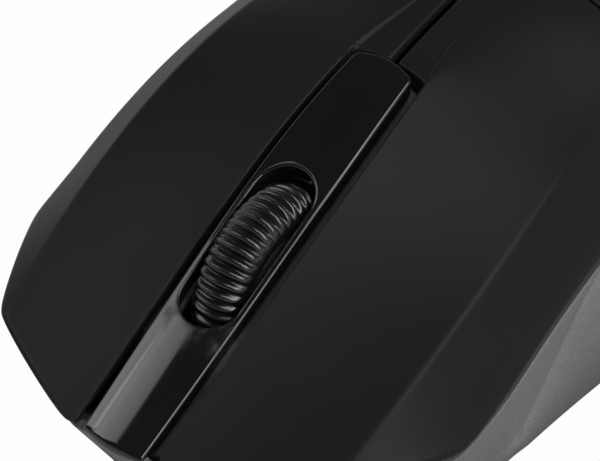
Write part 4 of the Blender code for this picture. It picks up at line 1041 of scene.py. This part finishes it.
class MOUSE_OT_strip(Operator):
    """Make the polished strip round the wheel's slot, with the floor and the chin below it"""
    bl_idname = "mouse.strip"
    bl_label = "Centre strip"

    def execute(self, context):
        form = Form(context.scene.mouse_sizes)
        outer, inner = [sampled(line, loop_steps(1, STRIP_ROWS)) for line in self.edges(form)]
        rings = plate_rings(inner, outer, facing(inner, -1), facing(outer, 1), form.strip_top,
                            form.strip_foot, STRIP_ROUND, STRIP_COLUMNS)
        add_piece("strip_skin", rings, "base", "gloss_strip", "centre_strip", looped=True,
                  edge=worn_ring(STRIP_COLUMNS))
        self.floor(form)
        self.chin(form)
        return {"FINISHED"}

    def chin(self, form):
        """The shell's front below the strip: sections from the rim up to it that lean in with depth.

        They step down at both sides, where they reach under the buttons' tips.
        """
        x = np.linspace(-1, 1, CHIN_ROWS)[:, None] * (STRIP_FRONT_HALF + CHIN_REACH)
        y = form.sizes.front_y - x ** 2 / (2 * NOSE_RADIUS)
        beside = smooth_step(STRIP_FRONT_HALF, STRIP_FRONT_HALF + CHIN_STEP_EASE, np.abs(x))
        high = form.strip_foot(x, y) - CHIN_GAP - CHIN_STEP * beside
        low = form.rim(x, y) - CHIN_GAP
        turn = quarter(ROUND_STEPS)[1:]
        wall = low + (high - RIM_ROUND - low) * np.linspace(0, 1, CHIN_LEVELS)[1:]
        levels = np.concatenate([low, wall, high - RIM_ROUND * (1 - np.sin(turn)), high, low], axis=1)
        lean = form.edge_lean(y) * (form.top(x, y) - levels)
        inset = np.zeros_like(levels)
        inset[:, CHIN_LEVELS:-2] = RIM_ROUND * (1 - np.cos(turn))
        inset[:, -2:] = CHIN_DEPTH
        offsets = -lean - inset + SKIN
        rings = points_at(x + x / NOSE_RADIUS * offsets, y + offsets, levels)
        add_piece("front_chin", rings, "base", "grey_shell")

    def floor(self, form):
        """A dark plate below the strip: its outline and a longer slot at an even depth.

        It arches up over the bar in front of the wheel.
        """
        outline, slot = [sampled(line, loop_steps(1, FLOOR_ROWS)) for line in self.edges(form)]
        outline = outline * (1, FLOOR_LENGTH) + facing(outline, 1) * FLOOR_REACH
        along = slot[:, 1] - SLOT_Y
        slot[:, 1] += along * (np.where(along > 0, FLOOR_SLOT_FRONT, FLOOR_SLOT_REAR) - 1)

        def upper(x, y):
            away = np.abs(y - FLOOR_ARCH_Y) - FLOOR_ARCH_HALF
            arch = FLOOR_ARCH * smooth_step(FLOOR_ARCH_EASE, 0, away)
            return form.crest(y) - FLOOR_DEPTH + arch

        def lower(x, y):
            return upper(x, y) - FLOOR_THICKNESS

        rings = plate_rings(slot, outline, facing(slot, -1), facing(outline, 1), upper, lower,
                            form.sizes.edge_round, FLOOR_COLUMNS)
        add_piece("channel_floor", rings, "base", "dark_plastic", looped=True)

    def edges(self, form):
        """The strip's outline and the slot's, both closed and walked the same way from the front.

        The outline has bowed ends and lens-shaped sides. The slot is two half circles and two
        straight sides.
        """
        s = form.sizes
        share = np.linspace(0, 1, STRIP_END_POINTS)
        front_y = s.front_y + STRIP_PROUD
        front = points_at(share * STRIP_FRONT_HALF, front_y - STRIP_FRONT_BOW * share ** 2)
        y = np.linspace(front[-1, 1], STRIP_REAR_Y + STRIP_CORNER, LINE_POINTS)
        side = points_at(form.strip_half(y), y)[1:]
        turn = quarter(STRIP_CORNER_POINTS)[1:]
        end_half = side[-1, 0] - STRIP_CORNER
        corner = points_at(end_half + STRIP_CORNER * np.cos(turn),
                           STRIP_REAR_Y + STRIP_CORNER * (1 - np.sin(turn)))
        back = share[::-1]
        rear = points_at(back * end_half, STRIP_REAR_Y - STRIP_REAR_BOW * (1 - back ** 2))[1:]
        straight = s.slot_length / 2 - s.slot_half
        turn = quarter(STRIP_END_POINTS)
        arc = points_at(s.slot_half * np.sin(turn), SLOT_Y + straight + s.slot_half * np.cos(turn))
        halves = (np.concatenate([front, side, corner, rear]),
                  np.concatenate([arc, arc[::-1] * (1, -1) + (0, 2 * SLOT_Y)]))
        return [np.concatenate([right, right[-2::-1] * (-1, 1)]) for right in halves]


class MOUSE_OT_wheel(Operator):
    """Make the wheel's ribbed tyre"""
    bl_idname = "mouse.wheel"
    bl_label = "Wheel"

    def execute(self, context):
        s = context.scene.mouse_sizes
        low, high = TYRE_BOX
        centre = (low + high) / 2
        radius = (high.z - low.z) / 2 - TYRE_INSET
        half = (high.x - low.x) / 2
        side = radius - TYRE_SHOULDER
        arc = np.linspace(0, pi, TYRE_POINTS)
        across = np.concatenate([half * np.cos(arc), [-half, half]])
        reach = np.concatenate([side + TYRE_SHOULDER * np.sin(arc), [radius - TYRE_THICKNESS] * 2])
        turn = loop_steps(2 * pi, s.rib_count * RIB_POINTS)[:, None]
        groove = (0.5 - 0.5 * np.cos(s.rib_count * turn)) ** GROOVE_POWER
        crown = np.clip((reach - side) / TYRE_SHOULDER, 0, 1) ** CROWN_POWER
        ribbed = reach - s.rib_depth * groove * crown
        rings = points_at(centre.x + across, centre.y + ribbed * np.cos(turn),
                          centre.z + ribbed * np.sin(turn))
        add_piece("ribbed_tyre", rings, "wheel", "wheel_rubber", "wheel_tyre", looped=True)
        return {"FINISHED"}


class MOUSE_OT_shell(Operator):
    """Make the smooth outer skin of the lower shell"""
    bl_idname = "mouse.shell"
    bl_label = "Lower shell"

    def execute(self, context):
        form = Form(context.scene.mouse_sizes)
        half = np.concatenate([form.front_line(form.sizes.front_y, FRONT_POINTS),
                               form.side_line(HIP_Y, SHELL_SIDE_POINTS)[1:],
                               form.tail_arc(HIP_Y, LINE_POINTS)[1:]])
        outline = np.concatenate([half, half[-2::-1] * (-1, 1)])
        outline = sampled(outline, loop_steps(1, SHELL_ROWS))
        x, y = outline[:, :1], outline[:, 1:]
        rings = self.sections(form, x, y, facing(outline, 1, closed=True))
        # Edge values that paint shade on the skirt's foot and a highlight along its ridge into the
        # colour
        add_piece("shell_skin", rings, "base", "grey_shell", looped=True,
                  edge=self.paling(form, y, rings.shape[1]))
        return {"FINISHED"}

    def paling(self, form, y, around):
        """Edge values of the sections: -1 for painted shade at the foot, 1 for a painted highlight on
        the ridge, 0 on the band.
        """
        values = np.zeros(around)
        values[:ROUND_STEPS] = -1
        values[ROUND_STEPS:ROUND_STEPS + SKIRT_ROWS - 1] = np.linspace(-1, 1, SKIRT_ROWS)[1:]
        return values * form.skirt_share(y)

    def sections(self, form, x, y, outward):
        """Closed cross sections of the skin, one for each point of the outline.

        Each runs round the foot, up the skirt to the ridge, up the band, round the rim, up a tongue
        that closes the seam under the palm cover, and back down inside the shell's wall.
        """
        foot = SHELL_BOX[0].z + BOTTOM_ROUND + 0 * x
        rim = form.rim(x, y) + SKIN
        ridge = form.ridge(x, y)
        turn = quarter(ROUND_STEPS)
        skirt = foot + (ridge - foot) * np.linspace(0, 1, SKIRT_ROWS)[1:]
        band = ridge + (rim - RIM_ROUND - ridge) * np.linspace(0, 1, BAND_ROWS)[1:]
        heights = np.concatenate([skirt, band], axis=1)
        base = form.wall(x, y, foot)
        edge = form.wall(x, y, rim - RIM_ROUND)
        inside = edge - TONGUE_INSET
        offsets = np.concatenate([base - BOTTOM_ROUND * (1 - np.sin(turn)),
                                  form.wall(x, y, heights),
                                  edge - RIM_ROUND * (1 - np.cos(turn[1:])),
                                  inside, inside - TONGUE_DRAFT, edge - SKIN_DEPTH,
                                  base - SKIN_DEPTH - BOTTOM_ROUND], axis=1) + SKIN
        tongue = rim + TONGUE_HEIGHT * smooth_step(CROSS_SEAM_Y, CROSS_SEAM_Y - TONGUE_EASE, y)
        levels = np.concatenate([foot - BOTTOM_ROUND * np.cos(turn), heights,
                                 rim - RIM_ROUND * (1 - np.sin(turn[1:])),
                                 rim, tongue, tongue, foot], axis=1)
        return points_at(x + outward[:, :1] * offsets, y + outward[:, 1:] * offsets, levels)


class MOUSE_OT_underside(Operator):
    """Make the battery door, the glides, the screw heads, the receiver's cap and the power knob"""
    bl_idname = "mouse.underside"
    bl_label = "Underside"

    def execute(self, context):
        self.door()
        for name in ("front_foot_left", "front_foot_right", "rear_foot"):
            low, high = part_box(name)
            rings = stacked(oval(low, high), low.z, high.z, GLIDE_ROUND)
            add_piece(name + "_glide", rings, "base", "glide_foot", name)
        self.knob()
        self.cap()
        for name in ("case_screw_left", "case_screw_right"):
            self.screw(name)
        return {"FINISHED"}

    def door(self):
        """A plate with rounded corners: half - corner + sqrt(corner^2 - y^2), and cosine grip grooves.

        The rings are worked out upside down and then turned over.
        """
        low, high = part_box("battery_door")
        bend = DOOR_CORNER * (1 - np.cos(quarter(DOOR_CORNER_ROWS)))
        y = np.concatenate([low.y + bend,
                            np.linspace(low.y + DOOR_CORNER, high.y - DOOR_CORNER, DOOR_ROWS)[1:-1],
                            high.y - bend[::-1]])
        inset = np.clip(np.maximum(low.y + DOOR_CORNER - y, y - high.y + DOOR_CORNER), 0, DOOR_CORNER)
        half = high.x - DOOR_CORNER + np.sqrt(DOOR_CORNER ** 2 - inset ** 2)
        start = low.y + GRIP_START

        def outside(x, y):
            along = smooth_step(start, start + GRIP_PITCH / 2, y)
            along = along * smooth_step(start + GRIP_LENGTH, start + GRIP_LENGTH - GRIP_PITCH / 2, y)
            reach = GRIP_HALF - GRIP_TAPER * (y - start)
            across = smooth_step(reach, reach - GRIP_PITCH, np.abs(x))
            wave = 0.5 - 0.5 * np.cos(2 * pi * (y - start) / GRIP_PITCH)
            return -low.z - GRIP_DEPTH * wave * along * across

        def inside(x, y):
            return -high.z

        sideways = np.tile((1.0, 0.0), (len(y), 1))
        rings = plate_rings(points_at(-half, y), points_at(half, y), -sideways, sideways, outside,
                            inside, DOOR_ROUND, DOOR_COLUMNS) * (1, 1, -1)
        add_piece("ribbed_door", rings, "door", "dark_plastic", "battery_door",
                  edge=worn_ring(DOOR_COLUMNS))

    def knob(self):
        """The power knob: a rounded stem with cosine ridges across its outer face, then a flange."""
        low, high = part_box("power_knob")
        middle = (low + high) / 2
        half = Vector((*KNOB_STEM, 0)) / 2
        neck = high.z - KNOB_FLANGE
        stem = stacked(rounded(middle - half, middle + half, KNOB_CORNER), low.z, neck, KNOB_CORNER / 2)
        flange = stacked(rounded(low, high, KNOB_CORNER), neck, high.z, KNOB_FLANGE / 4)
        wave = 0.5 + 0.5 * np.cos(2 * pi * (stem[..., 1] - middle.y + half.y) / KNOB_PITCH)
        face = np.clip((low.z + KNOB_CORNER - stem[..., 2]) / KNOB_CORNER, 0, 1)
        stem[..., 2] += KNOB_DEPTH * wave * face
        rings = np.concatenate([stem[:-1], flange[-ROUND_STEPS - 2:]])
        add_piece("ribbed_knob", rings, "power", "white_plastic", "power_knob")

    def cap(self):
        """The receiver's cap: a rounded block whose outer face is hollowed for a fingernail."""
        low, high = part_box("receiver_cap")
        middle = (low + high) / 2
        rings = stacked(rounded(low, high, CAP_CORNER), low.z, high.z, CAP_CORNER / 2)
        reach = (rings[..., 1] - middle.y) / (high.y - low.y) * 2
        face = np.clip((low.z + CAP_CORNER - rings[..., 2]) / CAP_CORNER, 0, 1)
        rings[..., 2] += CAP_HOLLOW * face * (1 - reach ** 2)
        add_piece("hollowed_cap", rings, "receiver", "dark_plastic", "receiver_cap")

    def screw(self, name):
        """A pan-head screw as rings: a cross drive, a domed head, a shank with a fine thread.

        The drive is the lesser of two crossed bars in polar form, half / max(|cos|, |sin|)
        of the turn from the nearer bar, cut off at the bar's length.
        """
        low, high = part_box(name)
        middle = (low + high) / 2
        head = (high.x - low.x) / 2
        turn = loop_steps(2 * pi, SCREW_POINTS)
        away = np.abs((turn + pi / 4) % (pi / 2) - pi / 4)
        cross = np.minimum(DRIVE_BAR / np.maximum(np.sin(away), TINY), DRIVE_ARM / np.cos(away))
        dome = quarter(ROUND_STEPS)[::-1]
        levels = np.linspace(low.z + HEAD_DEPTH, high.z, THREAD_ROWS)
        wave = np.abs((levels - levels[0]) / THREAD_PITCH % 1 - 0.5) * 2
        taper = np.clip((high.z - levels) / THREAD_PITCH, SHANK_POINT, 1)
        radii = np.concatenate([head - HEAD_ROUND * (1 - np.cos(dome)), [head],
                                (SHANK_HALF + THREAD_DEPTH * wave) * taper])
        reach = np.concatenate([[DRIVE_FLOOR * cross, cross, cross],
                                np.tile(radii[:, None], SCREW_POINTS)])
        depths = np.concatenate([[DRIVE_DEPTH, DRIVE_DEPTH, 0], HEAD_ROUND * (1 - np.sin(dome)),
                                 [HEAD_DEPTH]])
        heights = np.concatenate([low.z + depths, levels])
        rings = points_at(middle.x + reach * np.cos(turn), middle.y + reach * np.sin(turn),
                          heights[:, None])
        add_piece(name + "_cross", rings, "base", "steel", name)


class MOUSE_OT_finishes(Operator):
    """Give every remaining frame node its finish"""
    bl_idname = "mouse.finishes"
    bl_label = "Inner parts"

    def execute(self, context):
        for part in frame["record"]["subparts"]:
            for place in frame["nodes"][part["node"]].material_slots:
                place.material = finish_of(part["material_slot"])
        return {"FINISHED"}


class MOUSE_OT_stage(Operator):
    """Make the floor, the lights and the camera"""
    bl_idname = "mouse.stage"
    bl_label = "Stage"

    def execute(self, context):
        self.floor()
        self.world(context.scene)
        for name, settings in PANELS.items():
            self.panel(name, *settings)
        self.camera(context.scene)
        context.scene.view_settings.view_transform = "Standard"
        return {"FINISHED"}

    def camera(self, scene):
        """The photograph's camera: it faces its aim and is rolled about its line of sight."""
        camera = bpy.data.objects.new("camera", bpy.data.cameras.new("camera"))
        camera.location = CAMERA_PLACE
        aim = (Vector(CAMERA_AIM) - camera.location).to_track_quat("-Z", "Y")
        camera.rotation_mode = "QUATERNION"
        camera.rotation_quaternion = aim @ Quaternion((0, 0, 1), CAMERA_ROLL)
        camera.data.lens = CAMERA_LENS
        camera.data.clip_start = CAMERA_NEAR
        scene.collection.objects.link(camera)
        scene.camera = camera

    def floor(self):
        """A flat floor at the feet's level that shows white and keeps the shadow faintly."""
        row = PAPER_CELLS + 1
        across = np.linspace(-PAPER_HALF, PAPER_HALF, row)
        points = points_at(*np.meshgrid(across, across), 0).reshape(-1, 3)
        first = (np.arange(PAPER_CELLS)[:, None] * row + np.arange(PAPER_CELLS)).ravel()
        quads = points_at(first, first + 1, first + row + 1, first + row)
        mesh = bpy.data.meshes.new("floor")
        mesh.from_pydata(points.tolist(), [], quads.tolist())
        finish = Finish("floor_paper")
        finish.surface(Base_Color=PAPER_TONE, Roughness=PAPER_ROUGHNESS)
        straight = finish.rays("Is Camera Ray")
        mirrored = finish.rays("Is Glossy Ray", "Is Transmission Ray")
        white = PAPER_STRAIGHT * straight + PAPER_MIRRORED * mirrored
        glow = finish.add("ShaderNodeEmission", {}, {"Color": WHITE, "Strength": 1.0})
        lit = finish.add("ShaderNodeMixShader", {}, {0: white})
        finish.tree.links.new(finish.shader.outputs[0], lit.inputs[1])
        finish.tree.links.new(glow.outputs[0], lit.inputs[2])
        finish.tree.links.new(lit.outputs[0], finish.tree.nodes["Material Output"].inputs[0])
        mesh.materials.append(finish.material)
        floor = bpy.data.objects.new("floor", mesh)
        bpy.context.scene.collection.objects.link(floor)

    def world(self, scene):
        """A dim room, white behind the object and in a band along the skyline of its reflections."""
        scene.world = bpy.data.worlds.new("room")
        scene.world.use_nodes = True
        room = Nodes(scene.world.node_tree)
        spot = room.add("ShaderNodeTexCoord", {}, {}).outputs["Generated"]
        height = room.add("ShaderNodeSeparateXYZ", {}, {0: Value(room, spot)}).outputs["Z"]
        band = room.add("ShaderNodeMapRange", {"interpolation_type": "SMOOTHSTEP"},
                        {"Value": Value(room, height), "From Min": BAND_LOW, "From Max": BAND_HIGH,
                         "To Min": 1.0, "To Max": CEILING_LEVEL})
        straight = room.rays("Is Camera Ray")
        mirrored = room.rays("Is Glossy Ray", "Is Transmission Ray")
        level = ROOM_LEVEL + straight * (1 - ROOM_LEVEL)
        level = level + mirrored * (Value(room, band.outputs[0]) - ROOM_LEVEL)
        room.feed(room.tree.nodes["Background"], {"Color": WHITE, "Strength": level})

    def panel(self, name, place, aim, size, power, spread):
        """A soft rectangle of light that faces a point. A lesser spread keeps its light ahead of it."""
        data = bpy.data.lights.new(name, "AREA")
        data.shape = "RECTANGLE"
        data.size, data.size_y = size
        data.energy = power
        data.spread = spread
        lamp = bpy.data.objects.new(name, data)
        lamp.location = place
        lamp.rotation_mode = "QUATERNION"
        lamp.rotation_quaternion = (Vector(aim) - Vector(place)).to_track_quat("-Z", "Y")
        bpy.context.scene.collection.objects.link(lamp)


class MOUSE_PT_panel(Panel):
    """Lists the steps and the settings in the sidebar"""
    bl_label = "Desktop Mouse"
    bl_idname = "MOUSE_PT_panel"
    bl_space_type = "VIEW_3D"
    bl_region_type = "UI"
    bl_category = "Mouse"

    def draw(self, context):
        for step in STEPS:
            self.layout.operator(step.bl_idname)
        for settings in (context.scene.mouse_sizes, context.scene.mouse_colours):
            box = self.layout.box()
            for name in settings.__annotations__:
                box.prop(settings, name)


STEPS = (MOUSE_OT_buttons, MOUSE_OT_palm, MOUSE_OT_strip, MOUSE_OT_wheel, MOUSE_OT_shell,
         MOUSE_OT_underside, MOUSE_OT_finishes, MOUSE_OT_stage)
CLASSES = (MouseSizes, MouseColours, *STEPS, MOUSE_PT_panel)


def register():
    for kind in CLASSES:
        bpy.utils.register_class(kind)
    bpy.types.Scene.mouse_sizes = PointerProperty(type=MouseSizes)
    bpy.types.Scene.mouse_colours = PointerProperty(type=MouseColours)


def unregister():
    del bpy.types.Scene.mouse_colours
    del bpy.types.Scene.mouse_sizes
    for kind in reversed(CLASSES):
        bpy.utils.unregister_class(kind)


def main():
    register()
    bpy.ops.mouse.buttons()
    bpy.ops.mouse.palm()
    bpy.ops.mouse.strip()
    bpy.ops.mouse.wheel()
    bpy.ops.mouse.shell()
    bpy.ops.mouse.underside()
    bpy.ops.mouse.finishes()
    bpy.ops.mouse.stage()


if __name__ == "__main__":
    main()
